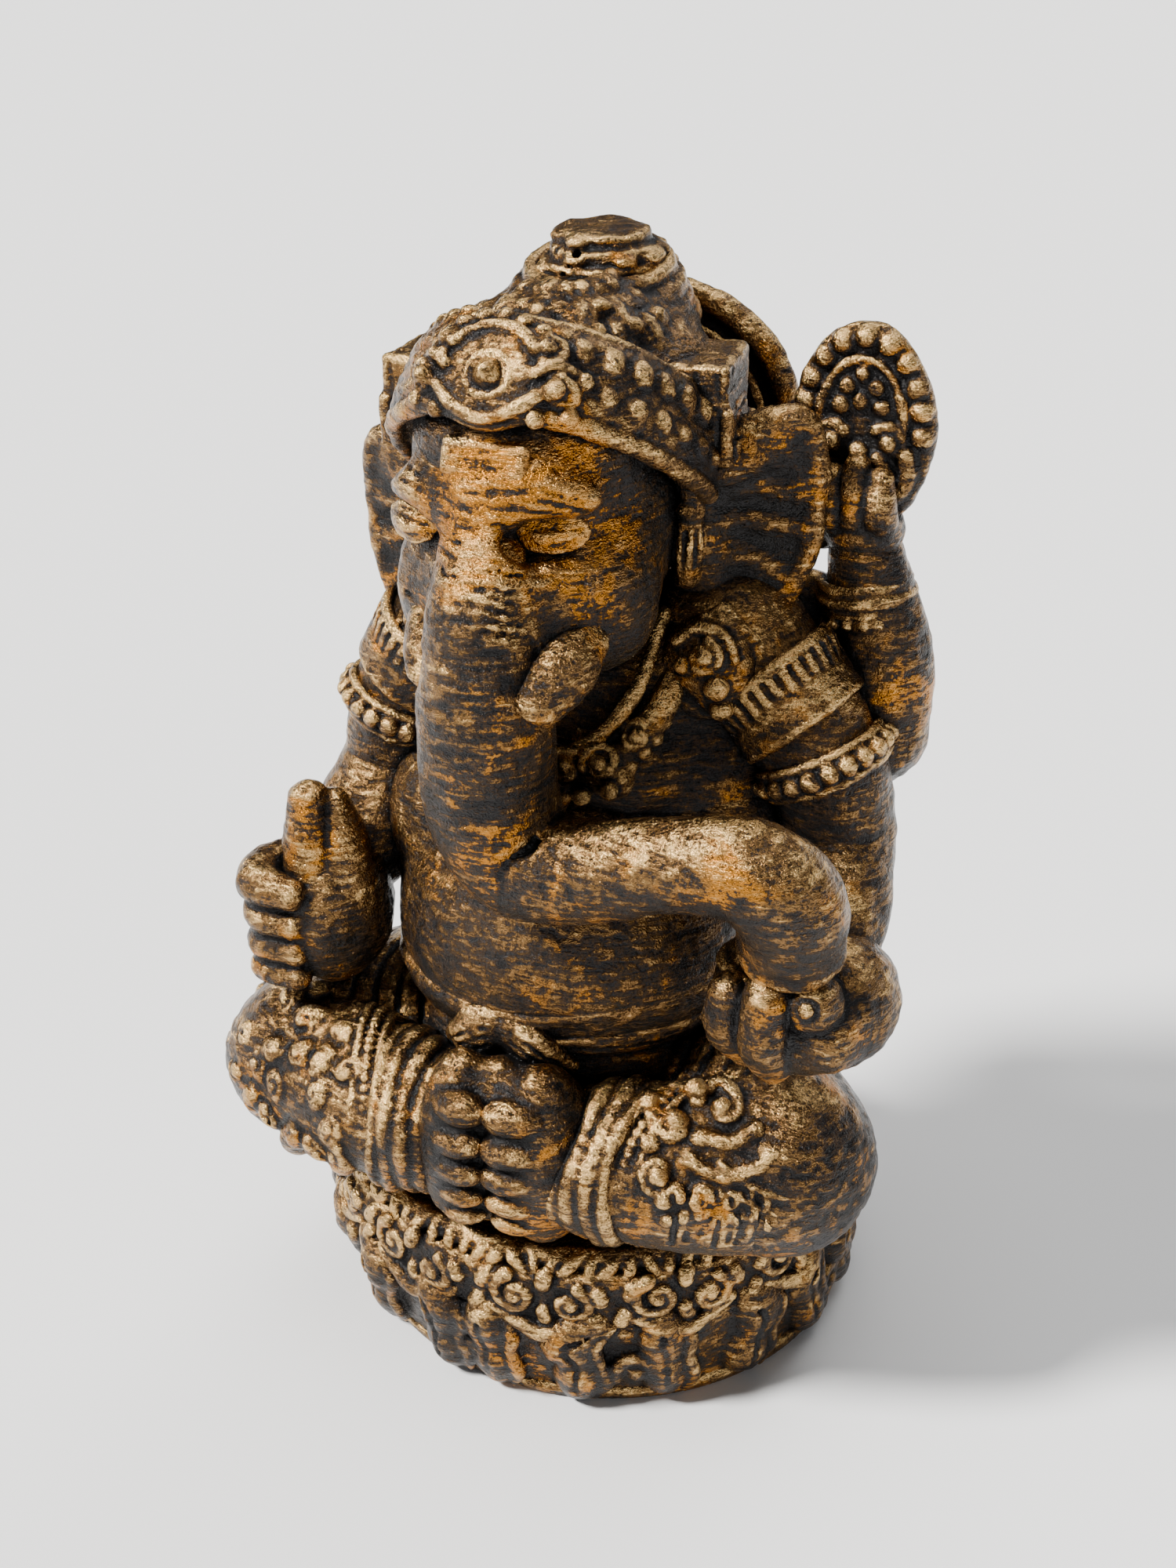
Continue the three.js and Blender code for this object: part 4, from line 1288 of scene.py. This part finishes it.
# ---------- From clay to meshes ----------
CELL = 2.5                                  # spacing of the lattice that all pieces share, mm
LATTICE_FIRST, LATTICE_SHAPE = vec(-175, -150, -10), (140, 116, 212)
LOOK_OUT = 3.0                              # how far outside the surface the lattice is read, mm
NOISE_SIDE = 48                             # cells along one side of the noise block
LUMPS = ((13.0, 0.55), (5.5, 0.40), (2.7, 0.26))    # sizes and heights of the hand-worked surface, mm


def lattice_noise():
    """One seamless block of smooth noise, shared by every piece."""
    draw = np.random.default_rng(3)
    block = draw.uniform(-1, 1, (NOISE_SIDE,) * 3).astype(np.float32)
    return np.pad(block, (0, 1), mode="wrap")


def lumps(points, block):
    """Height of the hand-worked surface at points, in millimetres."""
    height = np.zeros(len(points), np.float32)
    for size, amount in LUMPS:
        place = np.mod(points / size + 7.3, NOISE_SIDE)
        cell = np.floor(place)
        f = place - cell
        height += amount * sample(block, cell + f * f * (3 - 2 * f))
    return height


def fill_lattice(lattice, first, clay):
    """Marks the lattice points that a piece fills."""
    low = np.maximum(np.ceil((clay.first - first) / CELL).astype(int), 0)
    top = clay.first + clay.step * (np.array(clay.shape) - 1)
    high = np.minimum(np.floor((top - first) / CELL).astype(int), np.array(lattice.shape) - 1)
    index = []
    for k in range(3):
        place = first[k] + CELL * np.arange(low[k], high[k] + 1) - clay.first[k]
        index.append(np.rint(place / clay.step).astype(int))
    values = clay.field[np.ix_(*index)]
    window = tuple(slice(low[k], high[k] + 1) for k in range(3))
    filled = np.clip(0.5 - values / CELL, 0, 1)
    lattice[window] = np.maximum(lattice[window], filled)


def surface(clay):
    """Vertices, in grid coordinates, and quads, from the zero level of the clay."""
    band = 3.0                              # depth of the layer that is kept on each side, in cells
    grid = openvdb.FloatGrid(background=band)
    cells = np.clip(clay.field / clay.step, -band, band)
    grid.copyFromArray(np.ascontiguousarray(cells), tolerance=0.0)
    index, quads = grid.convertToQuads(0.0)
    corners = index[quads[:, :3]].astype(float)
    volume = np.einsum("ij,ij->", corners[:, 0], np.cross(corners[:, 1], corners[:, 2]))
    if volume < 0:
        quads = quads[:, ::-1]
    return index, quads


def outward(field, index):
    """Unit directions out of the clay at grid coordinates."""
    slope = np.column_stack([
        sample(field, index + step) - sample(field, index - step) for step in np.eye(3)
    ])
    return slope / np.maximum(np.linalg.norm(slope, axis=1, keepdims=True), TINY)


def make_mesh(name, points, quads, layers):
    mesh = bpy.data.meshes.new(name)
    mesh.vertices.add(len(points))
    mesh.vertices.foreach_set("co", (points * MM).astype(np.float32).ravel())
    mesh.loops.add(quads.size)
    mesh.loops.foreach_set("vertex_index", quads.astype(np.int32).ravel())
    mesh.polygons.add(len(quads))
    mesh.polygons.foreach_set("loop_start", np.arange(0, quads.size, 4, dtype=np.int32))
    mesh.polygons.foreach_set("use_smooth", np.ones(len(quads), bool))
    mesh.update(calc_edges=True)
    for layer, values in layers.items():
        data = mesh.attributes.new(layer, "FLOAT", "POINT").data
        data.foreach_set("value", values.astype(np.float32))
    piece = bpy.data.objects.new(name, mesh)
    bpy.context.scene.collection.objects.link(piece)
    return piece


def sculpt():
    """Builds every piece, and returns {node: object}.

    The layers tell the paint how each point lies: relief and form, how far it stands proud of its own
    surroundings, fine and broad; hollow and shelter, how much stone is close by and farther off, which
    the paint turns into black paint and painted shade.
    """
    jobs = builders()
    with ThreadPoolExecutor(4) as pool:
        clays = dict(zip(jobs, pool.map(lambda build: build(), jobs.values())))
    lattice = np.zeros(LATTICE_SHAPE, np.float32)
    for clay in clays.values():
        fill_lattice(lattice, LATTICE_FIRST, clay)
    near, wide = blurred(lattice, 2), blurred(blurred(lattice, 4), 3)
    block = lattice_noise()
    made = {}
    for node, clay in clays.items():
        index, quads = surface(clay)
        points = clay.first + index * clay.step
        normals = outward(clay.field, index)
        layers = {}
        for layer, depth, reach in (("relief", 3, 1.5), ("form", 8, 4.0)):
            smoothed = blurred(np.clip(clay.field, -depth, depth), max(1, round(reach / clay.step)))
            layers[layer] = sample(smoothed, index)
        place = (points + normals * LOOK_OUT - LATTICE_FIRST) / CELL
        layers["hollow"], layers["shelter"] = sample(near, place), sample(wide, place)
        height = lumps(points, block)
        if node != "base_plinth":
            points = points + normals * height[:, None]
        points[:, 2] = np.maximum(points[:, 2], 0.0)
        made[node] = make_mesh(f"{node}_carved", points, quads, layers)
    return made


# ---------- Paint ----------
class Paint:
    """Small helper for building one node material."""

    def __init__(self, name):
        self.material = bpy.data.materials.new(name)
        self.material.use_nodes = True
        self.nodes = self.material.node_tree.nodes
        self.links = self.material.node_tree.links
        self.shader = self.nodes["Principled BSDF"]
        self.where = self.nodes.new("ShaderNodeTexCoord").outputs["Object"]
        self.normal = self.nodes.new("ShaderNodeNewGeometry").outputs["Normal"]

    def put(self, socket, value):
        if isinstance(value, bpy.types.NodeSocket):
            self.links.new(value, socket)
        else:
            socket.default_value = value

    def add(self, kind, inputs, operation=None):
        """Adds a node, with its inputs given as {name or number: value or socket}."""
        node = self.nodes.new(kind)
        if operation:
            node.operation = operation
        for key, value in inputs.items():
            self.put(node.inputs[key], value)
        return node

    def attribute(self, name):
        node = self.nodes.new("ShaderNodeAttribute")
        node.attribute_name = name
        return node.outputs["Fac"]

    def noise(self, size, detail=3.0, rough=0.55, distort=0.0, stretch=None):
        """Noise from 0 to 1 whose lumps are about size millimetres."""
        where = self.where
        if stretch:
            where = self.add("ShaderNodeMapping", {"Vector": where, "Scale": stretch}).outputs["Vector"]
        return self.add("ShaderNodeTexNoise", {
            "Scale": 1 / (size * MM), "Detail": detail, "Roughness": rough, "Distortion": distort,
            "Vector": where,
        }).outputs["Fac"]

    def pits(self, size):
        inputs = {"Scale": 1 / (size * MM), "Vector": self.where}
        return self.add("ShaderNodeTexVoronoi", inputs).outputs["Distance"]

    def sum(self, *terms):
        """Adds up (value, weight) terms and plain numbers."""
        total = sum(term for term in terms if not isinstance(term, tuple))
        for value, weight in (term for term in terms if isinstance(term, tuple)):
            inputs = {0: value, 1: weight, 2: total}
            total = self.add("ShaderNodeMath", inputs, "MULTIPLY_ADD").outputs["Value"]
        return total

    def times(self, a, b):
        return self.add("ShaderNodeMath", {0: a, 1: b}, "MULTIPLY").outputs["Value"]

    def ramp(self, value, low, high, to_low=0.0, to_high=1.0):
        """Slides smoothly from to_low to to_high while the value goes from low to high."""
        node = self.add("ShaderNodeMapRange", {
            "Value": value, "From Min": low, "From Max": high, "To Min": to_low, "To Max": to_high,
        })
        node.interpolation_type = "SMOOTHSTEP"
        return node.outputs["Result"]

    def mix(self, share, a, b):
        node = self.nodes.new("ShaderNodeMix")
        node.data_type = "RGBA"
        self.put(node.inputs["Factor"], share)
        for socket, value in ((node.inputs[6], a), (node.inputs[7], b)):
            self.put(socket, value if isinstance(value, bpy.types.NodeSocket) else (*value, 1.0))
        return node.outputs[2]

    def near(self, centre, radius):
        """1 at a point given in millimetres, falling to 0 at the radius."""
        node = self.add("ShaderNodeVectorMath", {0: self.where, 1: vec(*centre) * MM}, "DISTANCE")
        return self.ramp(node.outputs["Value"], 0.0, radius * MM, 1.0, 0.0)

    def upness(self):
        """1 where the surface faces up, -1 where it faces down."""
        return self.add("ShaderNodeSeparateXYZ", {0: self.normal}).outputs["Z"]


BLACK = (0.0055, 0.0050, 0.0050)
# painted sheen: a grey-blue reflection of the light laid on the black paint as colour
SHEEN_GREY = (0.024, 0.029, 0.040)
UMBER = (0.030, 0.0150, 0.0050)
AMBER = (0.39, 0.155, 0.018)
BRONZE = (0.175, 0.095, 0.034)
# pale gold paint that also serves as painted highlight, the glint of light on the gold
PALE_GOLD_HIGHLIGHT = (0.66, 0.425, 0.165)
GOLD_HELD_BACK = 3.79                       # about the mean of the noises, so that gold begins at 0
AMBER_HELD_BACK = 0.88
SHEEN_HELD_BACK = 0.95
GLOSS = 0.22
BUMP_DEPTH = 1.5                            # mm


def paint(name, gold, amber, sheen):
    """Black cast stone with gold-bronze brushed over it, and painted highlights, a painted grey sheen
    and painted shade in its colour. gold, amber and the third number, for the painted grey sheen, shift
    how much shows.
    """
    p = Paint(name)
    relief = p.ramp(p.attribute("relief"), -0.40, 0.40, -1.0, 1.0)
    form = p.ramp(p.attribute("form"), -1.6, 1.6, -1.0, 1.0)
    hollow = p.ramp(p.attribute("hollow"), 0.36, 0.74)
    shelter = p.ramp(p.attribute("shelter"), 0.40, 0.74)
    # up tilts the colour by where light from above falls: painted highlight and sheen on top faces
    up = p.upness()
    broad, patchy, small = p.noise(60, 2), p.noise(17, 4, 0.62, 0.6), p.noise(4.2, 4, 0.65)
    speckle, grit = p.noise(1.3, 3, 0.7), p.pits(1.15)
    brushed = p.noise(3.0, 3, 0.6, 0.4, stretch=(0.28, 0.28, 1.3))
    tint = p.noise(34, 3, 0.6, 0.8)
    # brow: more gold and amber on the forehead, partly its paint and partly painted light where it is
    # lit; trunk_front: less gold down the front of the trunk, a painted shade
    brow, trunk_front = p.near((8, -80, 424), 62), p.near((-2, -118, 325), 75)

    # How far the brush has reached: the more, the more gold. The up, brow and trunk_front terms add
    # painted light and shade, the hollow and shelter terms black paint and painted shade.
    reach = p.sum(
        gold - GOLD_HELD_BACK, (relief, 0.37), (form, 0.30), (hollow, -0.60), (shelter, -0.35),
        (up, 0.36), (broad, 1.20), (patchy, 1.25), (small, 1.20), (speckle, 0.80), (brushed, 2.00),
        (tint, 0.80), (brow, 0.30), (trunk_front, -0.22),
    )
    umber_share = p.ramp(reach, -0.40, 0.02)
    bronze_share = p.ramp(reach, 0.00, 0.22)
    # Pale gold where the brush reached furthest: partly gold paint, partly painted highlight on top-lit
    # faces.
    highlight_share = p.ramp(reach, 0.34, 0.86)
    # Amber is the paint's own warm tone; its up term keeps it off top faces, a painted shade on the
    # sides.
    warmth = p.sum(
        amber - AMBER_HELD_BACK, (tint, 1.8), (small, 0.35), (hollow, -0.4), (up, -0.12), (brow, 0.60),
    )
    warm = p.ramp(warmth, 0.22, 0.52)
    # Painted sheen: grey-blue reflection on the black, more on faces that look up, less in the hollows.
    sheen_reach = p.sum(
        sheen - SHEEN_HELD_BACK, (p.noise(15, 4, 0.6), 1.3), (speckle, 0.30), (up, 0.28),
        (hollow, -0.35),
    )
    sheen_share = p.ramp(sheen_reach, 0.28, 0.62)

    base = p.mix(umber_share, BLACK, UMBER)
    base = p.mix(sheen_share, base, SHEEN_GREY)
    colour = p.mix(bronze_share, base, p.mix(warm, BRONZE, AMBER))
    colour = p.mix(p.times(highlight_share, p.ramp(warm, 0.2, 1.0, 1.0, 0.45)), colour, PALE_GOLD_HIGHLIGHT)
    flecks = p.ramp(p.sum(0.0, (speckle, 1.0), (small, 0.35), (grit, -0.15)), 0.44, 0.56)
    colour = p.mix(flecks, p.mix(0.72, colour, BLACK), colour)
    # Black in the hollows and where pieces crowd together: black paint left there, and painted shade.
    crevice_paint_and_shade = p.ramp(p.sum(0.0, (hollow, 0.75), (relief, -0.50), (shelter, 0.25)), 0.42, 1.0, 0.0, 0.95)
    colour = p.mix(crevice_paint_and_shade, colour, BLACK)
    p.put(p.shader.inputs["Base Color"], colour)

    p.put(p.shader.inputs["Roughness"], p.sum(0.10, (small, 0.20), (speckle, 0.06)))
    p.put(p.shader.inputs["Metallic"], p.ramp(bronze_share, 0.0, 0.7, 0.15, 1.0))
    p.put(p.shader.inputs["Specular IOR Level"], GLOSS)

    height = p.sum(
        0.0, (small, 0.70), (speckle, 0.42), (brushed, 0.50), (p.ramp(grit, 0.05, 0.40), 0.14),
        (p.ramp(p.pits(3.4), 0.04, 0.22), 0.25), (bronze_share, 0.12), (patchy, 0.8),
    )
    bump = p.add("ShaderNodeBump", {"Strength": 1.0, "Distance": BUMP_DEPTH * MM, "Height": height})
    p.put(p.shader.inputs["Normal"], bump.outputs["Normal"])
    return p.material


# ---------- Putting it together ----------
PAINTS = {
    "gold_brushed_stone": paint("gold_brushed_stone_paint", 0.16, 0.02, 0.0),
    "painted_stone": paint("painted_stone_paint", 0.04, 0.0, 0.06),
    "dark_painted_stone": paint("dark_painted_stone_paint", -0.10, -0.05, 0.04),
}
SLOTS = {row["node"]: row["material_slot"] for row in frame["record"]["subparts"]}

for node, piece in sculpt().items():
    slot = SLOTS[node]
    piece.data.materials.append(PAINTS[slot])
    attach(piece, "root")
    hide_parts(node)


# ---------- Floor, light and camera ----------
def add_floor():
    half = 6.0                              # metres
    corners = [(x * half, y * half, 0) for x, y in ((-1, -1), (1, -1), (1, 1), (-1, 1))]
    mesh = bpy.data.meshes.new("floor")
    mesh.from_pydata(corners, [], [(0, 1, 2, 3)])
    floor = bpy.data.objects.new("floor", mesh)
    material = bpy.data.materials.new("pale_floor")
    material.use_nodes = True
    shader = material.node_tree.nodes["Principled BSDF"]
    shader.inputs["Base Color"].default_value = (0.97, 0.97, 0.97, 1)
    shader.inputs["Roughness"].default_value = 0.9
    mesh.materials.append(material)
    bpy.context.scene.collection.objects.link(floor)


def add_sun(name, direction, spread, strength, colour=(1, 1, 1)):
    """A far soft light that comes from the given direction; spread is its width in degrees."""
    lamp = bpy.data.lights.new(name, "SUN")
    lamp.angle = math.radians(spread)
    lamp.energy = strength
    lamp.color = colour
    light = bpy.data.objects.new(name, lamp)
    light.rotation_euler = Vector(direction).to_track_quat("Z", "Y").to_euler()
    bpy.context.scene.collection.objects.link(light)


def add_camera():
    """Looks down from the figure's left front, at the photograph's angle."""
    turn, rise, roll = math.radians(22.5), math.radians(29.0), math.radians(-1.0)
    distance, target = 910 * MM, vec(0, 0, 260) * MM
    back = vec(math.sin(turn) * math.cos(rise), -math.cos(turn) * math.cos(rise), math.sin(rise))
    right = vec(math.cos(turn), math.sin(turn), 0)
    up = np.cross(back, right)
    across = math.cos(roll) * right + math.sin(roll) * up
    above = math.cos(roll) * up - math.sin(roll) * right
    camera_data = bpy.data.cameras.new("camera")
    camera_data.lens = 46.8
    camera_data.sensor_width = 36
    camera_data.sensor_fit = "AUTO"
    camera = bpy.data.objects.new("camera", camera_data)
    matrix = Matrix.Identity(4)
    for k, column in enumerate((across, above, back, target + distance * back)):
        for row in range(3):
            matrix[row][k] = column[row]
    camera.matrix_world = matrix
    bpy.context.scene.collection.objects.link(camera)
    bpy.context.scene.camera = camera


def add_world():
    world = bpy.data.worlds.new("studio")
    world.use_nodes = True
    background = world.node_tree.nodes["Background"]
    background.inputs["Color"].default_value = (1.0, 1.0, 1.0, 1)
    background.inputs["Strength"].default_value = 0.09
    bpy.context.scene.world = world


add_floor()
add_world()
add_sun("key", (-0.85, -0.60, 1.10), 11, 7.2, (1.0, 0.98, 0.95))
add_sun("overhead", (-0.05, 0.15, 1.0), 45, 1.5)
add_sun("fill", (1.3, -0.9, 0.5), 25, 0.35, (0.93, 0.96, 1.0))
add_sun("rim", (0.3, 1.4, 0.9), 30, 0.8)
add_camera()
